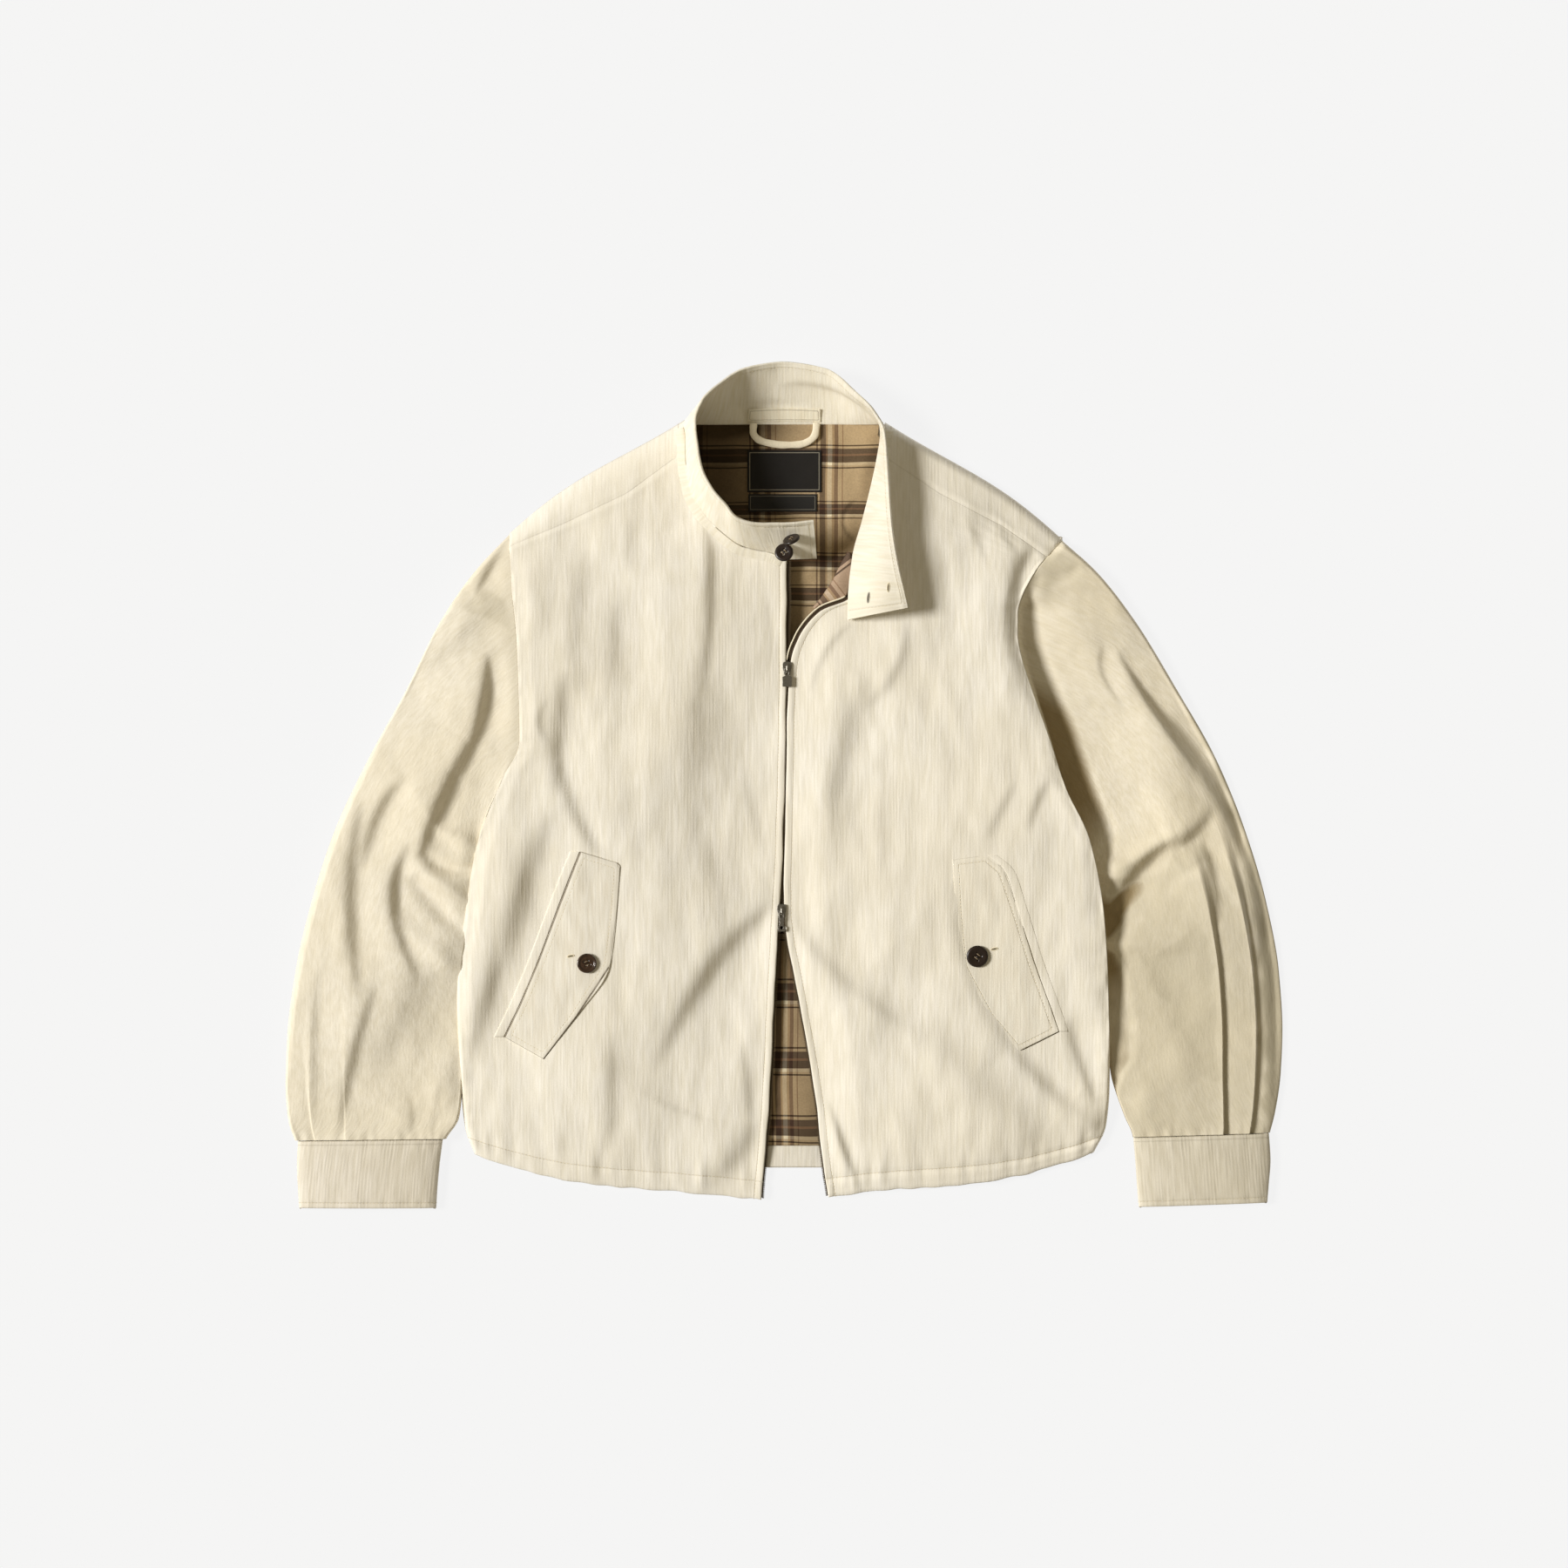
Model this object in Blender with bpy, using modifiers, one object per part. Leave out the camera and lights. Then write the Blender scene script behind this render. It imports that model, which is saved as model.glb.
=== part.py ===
"""Harrington jacket laid flat on its back, zipped in the middle, open at the neck and the hem.

Units in the tables are millimetres. +Z is up, +Y runs towards the collar, and the wearer's right
is at -X. The origin is on the resting surface, under the middle of the jacket.
"""
from collections import namedtuple
from math import cos, exp, hypot, log, pi, sin, sqrt

import bmesh
import bpy
from mathutils import Vector
from mathutils.bvhtree import BVHTree

MM = 0.001

# Cloth and seams
CLOTH = 1.6            # outer cloth with its lining, pressed together
DOUBLE_CLOTH = 2.4     # collar and cuffs, two layers and interlining
TAPE = 1.2
SEAM_GAP = 0.3
RIM_HEIGHT = 3.0       # the fronts' rim stands this high, just above the back panel
SIDE_ROLL = 46.0       # how far in from the side seam the front reaches its full height
SHOULDER_ROLL = 32.0
ZIP_ROLL = 70.0

# Back
BACK_HEM = -352.5
BACK_NECK = 330.0
FACING_TOP = -332.0
LINING_INSET = 14.0
LINING_Z = CLOTH + SEAM_GAP

# Zip
ZIP_CLOSED_FROM = -108.0
ZIP_CLOSED_TO = 112.0
TAPE_UNDER = 8.0
TAPE_OUT = 3.0
TAPE_CLOSED = 0.55     # how far the tapes stand out of the cloth where the zip is closed
TAPE_DROP = 0.5
TAPE_HEM = 0.1         # section of the fronts where the tapes end at the hem
TAPE_JOIN = 3.0        # section where the two lengths of a tape meet, near the end of the opening
TAPE_JOIN_GAP = 0.005
SLIDER = {"width": 8.4, "length": 12.0, "plate": 2.0}
BRIDGE = {"width": 1.6, "length": 6.8, "post": 1.0, "room": 2.3}
PULL = {"thick": 1.2, "bar": 1.2, "eye": 5.6, "eye_width": 2.6, "arm": 1.1}

# Where each slider lies, and its pull's length and width
Slider = namedtuple("Slider", "name x y z pull_length pull_width")
SLIDERS = [Slider("top", 2.8, 106, 17.1, 17.0, 10.0),
           Slider("bottom", -2.2, -116, 16.6, 19.0, 7.0)]

# Buttons
BUTTON_THICK = 3.2
BUTTON_HOLE = 1.0

Front = namedtuple("Front", "inner_x inner_y inner_z outer_x outer_y outer_z crown round sag")
Crease = namedtuple("Crease", "x0 y0 x1 y1 x2 y2 width depth")
Ring = namedtuple("Ring", "outer_x outer_y inner_y gap crown peak")
Cuff = namedtuple("Cuff", "outer_x outer_y inner_x inner_y crown")
Stand = namedtuple("Stand", "seam_on at seam_z free_x free_y free_z roll")
Edge = namedtuple("Edge", "attached_x attached_y free_x free_y")

# Each row is a section across a front, from the zip or neck edge (inner) to the side, armhole or
# shoulder edge (outer). crown is the height between them, round is 1 where the outer edge is a
# rolled fold and 0 where it is a flat seam, and sag bends the section down.
FRONT_RIGHT = [
    #     inner x, y, z        outer x, y, z       crown round sag
    Front(-21, -382, 6.5, -284, -340, 4.2, 9, 0.6, 10),
    Front(-19, -358, 9.0, -293, -314, 3.2, 16, 1.0, 8),
    Front(-13, -285, 12.5, -297, -272, 2.0, 23, 1.0, 3),
    Front(-9, -200, 15.0, -300, -184, 2.0, 27, 1.0, 0),
    Front(-4.2, -114, 16.0, -293, -128, 2.0, 28, 1.0, 0),
    Front(-0.8, -48, 16.0, -282, -60, 2.0, 28, 1.0, 0),
    Front(0.8, 16, 16.0, -258, 4, 4.0, 29, 0.8, 0),
    Front(2.0, 80, 16.0, -242, 40, 14.0, 29, 0.2, 0),
    Front(2.4, 144, 17.0, -243, 96, 20.0, 29, 0.0, 0),
    Front(2.4, 206, 19.5, -246, 150, 22.0, 28, 0.0, 0),
    Front(-31, 213.5, 21.0, -249, 176, 21.0, 27, 0.0, 0),
    Front(-54, 227, 21.5, -250, 195, 19.0, 25, 0.0, -2),
    Front(-76, 249.5, 20.5, -251, 208, 16.0, 23, 0.1, -4),
    Front(-90, 286, 18.0, -252, 219, 12.0, 21, 0.3, -6),
    Front(-98, 333, 14.0, -252, 230, 8.0, 18, 0.5, -8),
]
FRONT_LEFT = [
    Front(41, -379, 6.5, 285, -338, 4.2, 9, 0.6, 10),
    Front(37, -356, 9.0, 296, -312, 3.2, 16, 1.0, 8),
    Front(28, -280, 12.5, 299, -272, 2.0, 22, 1.0, 3),
    Front(13.6, -199, 15.0, 297, -184, 2.0, 26, 1.0, 0),
    Front(0.2, -114, 16.0, 293, -120, 2.0, 27, 1.0, 0),
    Front(0.8, -48, 16.0, 280, -52, 2.0, 28, 1.0, 0),
    Front(2.4, 16, 16.0, 258, -4, 9.0, 28, 0.6, 0),
    Front(3.6, 80, 16.0, 242, 44, 17.0, 28, 0.1, 0),
    Front(6.4, 113, 16.5, 227, 86, 20.0, 28, 0.0, 0),
    Front(13.4, 134, 18.0, 218, 114, 21.0, 28, 0.0, 0),
    Front(33, 158, 21.5, 214, 136, 21.0, 27, 0.0, 0),
    Front(61, 172, 24.0, 214, 156, 21.0, 26, 0.0, 0),
    Front(65, 206, 23.0, 218, 172, 20.0, 25, 0.0, 0),
    Front(74, 240, 21.5, 225, 186, 18.0, 24, 0.1, -2),
    Front(82, 272, 19.5, 234, 200, 15.0, 22, 0.2, -4),
    Front(88, 300, 17.0, 245, 212, 12.0, 20, 0.3, -6),
    Front(93, 332, 14.0, 256, 224, 8.0, 18, 0.5, -8),
]

# The largest folds: a soft line from the first point over the second to the third.
# width is half the fold's width, and a negative depth is a trough.
CREASES_RIGHT = [
    #       x0    y0    x1    y1    x2    y2   width depth
    Crease(-73, 238, -58, 196, -66, 122, 15, -4.5),
    Crease(-70, 110, -84, 60, -80, -48, 20, -4),
    Crease(-186, 202, -174, 128, -205, 73, 17, -5),
    Crease(-204, 40, -196, -5, -174, -50, 15, -4),
    Crease(-210, 24, -238, -117, -278, -221, 14, -5),
    Crease(-18, -117, -88, -196, -155, -288, 18, -6),
    Crease(-39, -313, -60, -330, -82, -343, 10, -3),
    Crease(-150, 120, -140, 20, -135, -60, 24, 3),
    Crease(-110, -60, -120, -150, -110, -240, 26, 3),
]
CREASES_LEFT = [
    Crease(66, 150, 42, 130, 24, 96, 12, -6),
    Crease(108, 128, 71, 73, 48, -48, 19, -5),
    Crease(10, -122, 53, -184, 90, -227, 14, -5),
    Crease(40, -300, 48, -340, 58, -368, 10, -3),
    Crease(249, -6, 240, -16, 226, -30, 9, -4),
    Crease(212, -251, 228, -276, 242, -300, 10, -4),
    Crease(96, 112, 88, 60, 96, -40, 26, 4),
    Crease(150, 100, 165, 20, 160, -90, 26, 3),
    Crease(204, -13, 196, -30, 188, -44, 9, -3),
]

# Each ring runs round a sleeve from its outer to its inner edge, from the armhole to the cuff.
# gap is how far the inner edge stands off the side seam, and peak shifts the crown across.
SLEEVE_RIGHT = [
    #    outer x, y   inner y  gap crown peak
    Ring(-252.5, 229.5, 2, 1.1, 23, 0.50),
    Ring(-284, 195, -22, 1.1, 27, 0.50),
    Ring(-315, 150, -44, 1.1, 29, 0.48),
    Ring(-347, 86, -68, 1.1, 31, 0.46),
    Ring(-382, 22, -96, 1.1, 33, 0.46),
    Ring(-412, -42, -126, 1.1, 35, 0.46),
    Ring(-433, -106, -158, 1.1, 34, 0.48),
    Ring(-448, -170, -192, 1.1, 31, 0.50),
    Ring(-456, -232, -232, 1.1, 28, 0.50),
    Ring(-457.5, -276, -272, 1.5, 25, 0.50),
    Ring(-455, -308, -306, 7, 21, 0.50),
    Ring(-449, -327, -325.5, 20, 16, 0.50),
]
SLEEVE_LEFT = [
    Ring(256.5, 223.5, -6, 1.1, 23, 0.50),
    Ring(288, 194, -28, 1.1, 27, 0.50),
    Ring(322, 150, -50, 1.1, 29, 0.52),
    Ring(361, 86, -72, 1.1, 31, 0.54),
    Ring(397, 22, -98, 2, 33, 0.56),
    Ring(423, -42, -128, 4, 34, 0.58),
    Ring(442, -106, -160, 8, 33, 0.58),
    Ring(454, -170, -194, 15.5, 31, 0.56),
    Ring(457.5, -224, -230, 16, 28, 0.54),
    Ring(456, -264, -270, 13, 25, 0.52),
    Ring(451, -300, -304, 16, 21, 0.50),
    Ring(446, -320, -324, 28, 16, 0.50),
]
CREASES_SLEEVE_RIGHT = [
    Crease(-252, 215, -266, 200, -279, 181, 9, -4),
    Crease(-268, 110, -270, 77, -286, 14, 12, -6),
    Crease(-301, 19, -313, -15, -331, -60, 12, -6),
    Crease(-350, 1, -372, -26, -374, -54, 10, -5),
    Crease(-395, -33, -403, -90, -409, -120, 10, -5),
    Crease(-352, -74, -361, -102, -350, -166, 12, -6),
    Crease(-337, -97, -316, -120, -300, -140, 10, -7),
    Crease(-324, -68, -306, -74, -290, -82, 8, -5),
    Crease(-330, 60, -345, 20, -350, -20, 16, 3),
]
CREASES_SLEEVE_LEFT = [
    Crease(236, 160, 262, 60, 298, -56, 17, -10),
    Crease(262, 119, 298, 45, 328, -14, 18, 4),
    Crease(309, 115, 365, 31, 429, -80, 14, -7),
    Crease(295, 126, 293, 110, 310, 82, 7, -4),
    Crease(358, -62, 372, -48, 384, -31, 9, -5),
    Crease(346, -54, 332, -68, 318, -82, 9, -7),
    Crease(300, -112, 306, -106, 312, -98, 12, -7),
    Crease(352, 90, 392, 20, 430, -50, 14, 3),
    Crease(330, -30, 335, -60, 322, -96, 14, 4),
]
# Long pleats into the cuff: where they lie across the sleeve, the ring they start at, their depth
Pleat = namedtuple("Pleat", "across ring depth")
PLEATS_RIGHT = [Pleat(0.66, 6.6, 3.0), Pleat(0.86, 7.0, 2.0)]
PLEATS_LEFT = [Pleat(0.64, 5.0, 3.6), Pleat(0.845, 4.8, 3.2)]
PLEAT_HALF = 0.022
SLEEVE_STEPS = 19
ARMHOLE_GAP = 0.9
EDGE_ROUND = 3.6       # the folded edges of a sleeve are rounded up from the surface

CUFF_RIGHT = [
    Cuff(-446, -327.5, -313, -325.9, 14),
    Cuff(-447, -350, -316, -350, 15),
    Cuff(-446, -372, -318, -372, 15),
    Cuff(-445, -389, -319, -389, 14),
]
CUFF_LEFT = [
    Cuff(445, -320.4, 320.5, -324.4, 14),
    Cuff(446.5, -345, 322.5, -348, 15),
    Cuff(445, -366, 324, -370, 15),
    Cuff(443.5, -384, 325.5, -388, 14),
]

# Each row is an upright section of the stand collar, from its seam to its free edge, starting at
# the wearer's right dog ear. seam_on names the panel whose edge it joins, and at is that panel's
# section, or x at the back. roll lifts the middle of a section that is turned out.
COLLAR = [
    #     on      at   seam z  free x, y, z     roll
    Stand("tab", 30, 19, 27, 240, 53, 1),
    Stand("right", 9.02, 19.5, 0, 237, 56, 1),
    Stand("right", 9.5, 20.5, -22, 237, 59, 0),
    Stand("right", 10.3, 21, -42, 242, 62, 0),
    Stand("right", 11.15, 21.5, -54, 255, 64, 0),
    Stand("right", 11.95, 21, -66, 269, 65, 0),
    Stand("right", 12.6, 20, -75, 288, 65, 0),
    Stand("right", 13.2, 18, -79, 309, 64, 0),
    Stand("right", 13.66, 14.5, -81, 329, 62, 0),
    Stand("back", -87, 8, -75, 350, 58, 0),
    Stand("back", -70, 4, -57, 368, 47, 0),
    Stand("back", -40, 3, -35, 382, 33, -2),
    Stand("back", 0, 2.8, 0, 388.4, 25, -3),
    Stand("back", 40, 2.8, 38, 382, 29, -2),
    Stand("back", 68, 4, 64, 361, 45, 0),
    Stand("back", 83, 8, 81, 342, 57, 0),
    Stand("left", 15.6, 13.5, 91, 322, 62, 0),
    Stand("left", 15.0, 17, 94, 296, 66, 0),
    Stand("left", 14.0, 20, 96, 267, 68, 2),
    Stand("left", 13.0, 22.5, 98, 238, 65, 6),
    Stand("left", 12.1, 24.5, 103, 204, 56, 8),
    Stand("left", 11.1, 27.0, 110, 174, 46, 7),
    Stand("ear", 150, 28, 113, 161, 42, 5),
]
COLLAR_INSET = 1.9     # the stand's middle stands this far inside the fronts' neck edge

# The lining of the left front where its top corner turns out. Each row goes from a section of
# that front's edge, standing this far out past it, to the roll.
Turned = namedtuple("Turned", "section out free_x free_y")
TURNED_LINING = [
    Turned(12.1, 3.5, 58, 213),
    Turned(11.8, 3.5, 51, 200),
    Turned(11.3, 3.5, 44, 186),
    Turned(10.8, 3.9, 38, 177),
    Turned(10.3, 3.9, 31.5, 168),
    Turned(9.95, 3.9, 26, 162),
]
TURNED_FALL = 1.5      # the roll lies this much lower than the edge

# Pocket flaps, from the edge sewn to the welt (attached) to the loose edge (free)
FLAP_RIGHT = [
    Edge(-186, -62, -153, -72),
    Edge(-191, -74, -150, -77),
    Edge(-207, -115, -153, -118),
    Edge(-225, -163, -159, -166),
    Edge(-242, -203, -190, -213),
    Edge(-256, -232, -220, -252),
]
FLAP_LEFT = [
    Edge(186, -65, 154, -69),
    Edge(201, -78, 155, -82),
    Edge(214, -115, 157, -120),
    Edge(229, -163, 162, -168),
    Edge(243, -201, 186, -213),
    Edge(252, -227, 214, -246),
]
FLAP = 2.0
FLAP_LIFT = 0.7
WELT_WIDTH = 9.0
WELT = 1.5

# Buttons: name, radius, and the place on a flap, or the section and height on the collar
Button = namedtuple("Button", "name radius x y")
FLAP_BUTTONS = [Button("button_pocket_right", 9.0, -180.4, -164),
                Button("button_pocket_left", 10.0, 176.8, -157.6)]
CollarButton = namedtuple("CollarButton", "name radius section height upright")
COLLAR_BUTTONS = [CollarButton("button_collar_lower", 8.25, 1.05, 0.26, 0.5),
                  CollarButton("button_collar_upper", 8.25, 0.68, 0.74, 0.0)]
BUTTON_FOOT = 0.85     # radius of a button's foot, as a share of its own
BUTTON_LIFT = 0.5

# Hanger loop, along its middle from one end to the other, and the labels as x, y, width, height
LOOP = [(-29, 326.5), (-28, 320), (-24, 314.5), (-14, 311.5), (0, 310), (16, 310),
        (27, 314), (31.5, 320), (32.5, 326.5)]
LOOP_WIDTH = 4.4
LOOP_THICK = 2.4
LABEL = (0.4, 287.0, 68.0, 38.5)
SIZE_TAB = (-1.2, 258.0, 63.0, 16.0)
LABEL_THICK = 0.8

COLOURS = {
    "body": (0.80, 0.73, 0.59), "sleeve": (0.78, 0.70, 0.53), "cuff": (0.73, 0.66, 0.54),
    "lining": (0.52, 0.41, 0.24), "label": (0.03, 0.03, 0.03), "button": (0.02, 0.012, 0.006),
    "tape": (0.10, 0.08, 0.04), "metal": (0.35, 0.33, 0.31),
}


def slopes(values):
    """Slopes of a curve through equally spaced values that never overshoots them."""
    steps = [b - a for a, b in zip(values, values[1:])]
    inner = [2 * a * b / (a + b) if a * b > 0 else 0.0 for a, b in zip(steps, steps[1:])]
    return [steps[0]] + inner + [steps[-1]]


def along(values, t):
    """Value at row t, between the rows of one column."""
    row = min(max(int(t), 0), len(values) - 2)
    t -= row
    slope = slopes(values)
    a, b = values[row], values[row + 1]
    return (a * (2 * t ** 3 - 3 * t ** 2 + 1) + slope[row] * (t ** 3 - 2 * t ** 2 + t)
            + b * (3 * t ** 2 - 2 * t ** 3) + slope[row + 1] * (t ** 3 - t ** 2))


def at_row(rows, t):
    """Every column of a table at row t, as a row of the same kind."""
    return type(rows[0])(*(along([row[i] for row in rows], t) for i in range(len(rows[0]))))


def rolled(t):
    """Quarter round from 0 to 1, upright at 0."""
    t = min(max(t, 0.0), 1.0)
    return sqrt(1 - (1 - t) ** 2)


def eased(t):
    t = min(max(t, 0.0), 1.0)
    return t * t * (3 - 2 * t)


def crease_height(creases, x, y):
    """Height that the folds add at a place in plan, fading towards each fold's ends."""
    height = 0.0
    for c in creases:
        near, place = 1e9, 0.0
        legs = ((c.x0, c.y0, c.x1, c.y1, 0.0), (c.x1, c.y1, c.x2, c.y2, 0.5))
        for ax, ay, bx, by, start in legs:
            dx, dy = bx - ax, by - ay
            t = min(max(((x - ax) * dx + (y - ay) * dy) / (dx * dx + dy * dy), 0.0), 1.0)
            away = hypot(x - ax - t * dx, y - ay - t * dy)
            if away < near:
                near, place = away, start + t / 2
        fade = 0.25 + 0.75 * sin(pi * min(max(place, 0.0), 1.0))
        reach = near / c.width
        if reach < 2.5:
            height += c.depth * fade * exp(-reach * reach)
    return height


def front_plan(rows, u, v):
    """Place in plan on a front: u from the zip to the side, v along its sections."""
    r = at_row(rows, v)
    x = r.inner_x + (r.outer_x - r.inner_x) * u
    y = r.inner_y + (r.outer_y - r.inner_y) * u - r.sag * sin(pi * u ** 1.6)
    return x, y, r


def front_point(rows, creases, u, v):
    x, y, r = front_plan(rows, u, v)
    from_zip = hypot(x - r.inner_x, y - r.inner_y)
    from_side = hypot(x - r.outer_x, y - r.outer_y)
    top_x, top_y, _ = front_plan(rows, u, len(rows) - 1)
    from_top = hypot(x - top_x, y - top_y)
    rise = r.round * rolled(from_side / SIDE_ROLL) + (1 - r.round) * eased(from_side / 80)
    z = r.crown - (r.crown - r.outer_z) * (1 - rise)
    z -= (r.crown - r.inner_z) * (1 - eased(from_zip / ZIP_ROLL))
    soft = eased(from_side / 40) * eased(from_top / 40) * (0.35 + 0.65 * eased(from_zip / 30))
    z += crease_height(creases, x, y) * soft
    z = RIM_HEIGHT + (z - RIM_HEIGHT) * rolled(from_top / SHOULDER_ROLL)
    rim = RIM_HEIGHT + 1.7 * min(1.0, min(from_side, from_top) / 4)
    return Vector((x, y, max(z, rim)))


def edge_at(rows, creases, y):
    """The outer edge of a front at a given y, found by halving, with the section it lies on."""
    low, high = 0.0, float(len(rows) - 1)
    for _ in range(40):
        mid = (low + high) / 2
        if at_row(rows, mid).outer_y < y:
            low = mid
        else:
            high = mid
    return front_point(rows, creases, 1.0, low), low


def material(name, colour, roughness=0.85, metallic=0.0):
    mat = bpy.data.materials.get(name) or bpy.data.materials.new(name)
    mat.use_nodes = True
    shader = mat.node_tree.nodes["Principled BSDF"]
    shader.inputs["Base Color"].default_value = (*colour, 1)
    shader.inputs["Roughness"].default_value = roughness
    shader.inputs["Metallic"].default_value = metallic
    return mat


def add_object(name, mesh, colour, roughness=0.85, metallic=0.0, smooth=True):
    obj = bpy.data.objects.new(name, mesh)
    PARTS.objects.link(obj)
    mesh.materials.clear()
    mesh.materials.append(material(name, COLOURS[colour], roughness, metallic))
    if smooth and hasattr(mesh, "shade_smooth"):
        mesh.shade_smooth()
    return obj


def loft(name, rows, colour, thickness, closed=False, offset=-1.0):
    """A sheet or tube through rows of points, thickened to a wall below its outer face."""
    bm = bmesh.new()
    grid = [[bm.verts.new(p * MM) for p in row] for row in rows]
    count = len(rows[0])
    upper = []
    for a, b in zip(grid, grid[1:]):
        for i in range(count if closed else count - 1):
            j = (i + 1) % count
            face = bm.faces.new((a[i], a[j], b[j], b[i]))
            if not closed or i < count // 2:
                upper.append(face)
    bm.normal_update()
    if sum(face.normal.z * face.calc_area() for face in upper) < 0:
        bmesh.ops.reverse_faces(bm, faces=bm.faces)
    mesh = bpy.data.meshes.new(name)
    bm.to_mesh(mesh)
    bm.free()
    obj = add_object(name, mesh, colour)
    wall = obj.modifiers.new("wall", "SOLIDIFY")
    wall.thickness = thickness * MM
    wall.offset = offset
    return obj


def plate(name, outline, holes, bottom, thickness, colour, metal=False):
    """A flat piece cut to an outline in plan, between two heights."""
    curve = bpy.data.curves.new(name, "CURVE")
    curve.dimensions = "2D"
    curve.fill_mode = "BOTH"
    curve.extrude = thickness / 2 * MM
    for ring in [outline] + holes:
        spline = curve.splines.new("POLY")
        spline.points.add(len(ring) - 1)
        for point, (x, y) in zip(spline.points, ring):
            point.co = (x * MM, y * MM, 0, 1)
        spline.use_cyclic_u = True
    guide = bpy.data.objects.new(name + "_outline", curve)
    PARTS.objects.link(guide)
    bpy.context.view_layer.update()
    mesh = bpy.data.meshes.new_from_object(guide.evaluated_get(bpy.context.evaluated_depsgraph_get()))
    bpy.data.objects.remove(guide)
    bpy.data.curves.remove(curve)
    bm = bmesh.new()
    bm.from_mesh(mesh)
    bmesh.ops.remove_doubles(bm, verts=bm.verts, dist=1e-6)
    bmesh.ops.translate(bm, verts=bm.verts, vec=(0, 0, (bottom + thickness / 2) * MM))
    bm.to_mesh(mesh)
    bm.free()
    mesh.name = name
    return add_object(name, mesh, colour, 0.35 if metal else 0.85, 1.0 if metal else 0.0, smooth=False)


def surface_of(rows):
    """A tree that finds the height of a sheet of points."""
    points = [p for row in rows for p in row]
    count = len(rows[0])
    faces = [(r * count + i, r * count + i + 1, (r + 1) * count + i + 1, (r + 1) * count + i)
             for r in range(len(rows) - 1) for i in range(count - 1)]
    return BVHTree.FromPolygons(points, faces)


def height_on(tree, x, y):
    place, normal, _, _ = tree.ray_cast(Vector((x, y, 200)), Vector((0, 0, -1)))
    return place, (normal if normal.z > 0 else -normal)


FRONT_U = [0, .02, .05, .10, .16, .23, .31, .39, .47, .55, .63, .70, .77, .83, .88, .92, .95,
           .973, .99, 1]
FRONT_STEPS = {0: 2, 1: 2, 2: 2, 3: 3, 4: 2, 5: 2, 6: 3, 7: 2}


def front_stations(rows):
    """Sections to build: closer at the hem and where the shoulder folds over."""
    last = len(rows) - 2
    stations = [row + i / FRONT_STEPS.get(row, 1)
                for row in range(last) for i in range(FRONT_STEPS.get(row, 1))]
    return stations + [last, last + 0.35, last + 0.62, last + 0.82, last + 0.94, last + 1]


def build_front(name, rows, creases):
    grid = [[front_point(rows, creases, u, v) for u in FRONT_U] for v in front_stations(rows)]
    loft(name, grid, "body", CLOTH)
    return grid


def dome(w, peak):
    """Height across a tube, 0 at both edges and 1 at the peak."""
    shifted = w ** (log(0.5) / log(peak))
    return (1 - abs(2 * shifted - 1) ** 2.5) ** 0.5


def sleeve_across(pleats):
    """Places across a sleeve, with one on each pleat and one on either side of it."""
    marks = [0, .012, .04, .09, .16, .26, .37, .48, .56, .75, .93, .975, 1]
    for pleat in pleats:
        marks += [pleat.across - PLEAT_HALF, pleat.across, pleat.across + PLEAT_HALF]
    return sorted(marks)


def sleeve_rows(rings, pleats, creases, front, front_creases, side):
    """Closed rings of a sleeve. side is -1 on the wearer's right and +1 on the left."""
    first = rings[0]
    start_seam, _ = edge_at(front, front_creases, first.inner_y)
    start_x = start_seam.x + side * first.gap
    grid = []
    for step in range(SLEEVE_STEPS + 1):
        v = (len(rings) - 1) * step / SLEEVE_STEPS
        r = at_row(rings, v)
        seam, _ = edge_at(front, front_creases, r.inner_y)
        inner_x = seam.x + side * r.gap
        hold = max(0.0, 1 - v / 2.2) ** 2
        hold_height = max(0.0, 1 - v / 1.1) ** 2
        top, bottom = [], []
        for w in sleeve_across(pleats):
            x = inner_x + (r.outer_x - inner_x) * w
            y = r.inner_y + (r.outer_y - r.inner_y) * w
            armhole, _ = edge_at(front, front_creases, first.inner_y + (first.outer_y - first.inner_y) * w)
            x += hold * (armhole.x + side * ARMHOLE_GAP - start_x - (first.outer_x - start_x) * w)
            z = EDGE_ROUND + (r.crown - EDGE_ROUND) * dome(w, r.peak)
            z += crease_height(creases, x, y) * eased(w / 0.12) * eased((1 - w) / 0.12) * (1 - hold_height)
            for pleat in pleats:
                if abs(w - pleat.across) < 1e-6:
                    z -= pleat.depth * eased((v - pleat.ring) / 1.5)
            held = max(armhole.z, EDGE_ROUND + 3 * dome(w, 0.5))
            z += (held - z) * hold_height
            top.append(Vector((x, y, max(z, EDGE_ROUND))))
            low = EDGE_ROUND * max(0.0, 1 - sin(pi * w) / 0.25) ** 2
            bottom.append(Vector((x, y, low)))
        grid.append(top + bottom[-2:0:-1])
    return grid


def cuff_rows(rings):
    across = [0, .02, .06, .13, .25, .4, .6, .75, .87, .94, .98, 1]
    grid = []
    for r in rings:
        top, bottom = [], []
        for w in across:
            x = r.inner_x + (r.outer_x - r.inner_x) * w
            y = r.inner_y + (r.outer_y - r.inner_y) * w
            top.append(Vector((x, y, 5 + (r.crown - 5) * sin(pi * w) ** 0.35)))
            bottom.append(Vector((x, y, 5 * max(0.0, 1 - sin(pi * w) / 0.3) ** 2)))
        grid.append(top + bottom[-2:0:-1])
    return grid


def edge_normal(rows, v):
    """Direction in plan that leaves a front across its inner edge, towards the opening."""
    a, b = at_row(rows, max(v - 0.05, 0)), at_row(rows, v + 0.05)
    dx, dy = b.inner_x - a.inner_x, b.inner_y - a.inner_y
    length = hypot(dx, dy)
    turn = 1 if rows is FRONT_RIGHT else -1
    return Vector((dy / length * turn, -dx / length * turn, 0))


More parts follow.
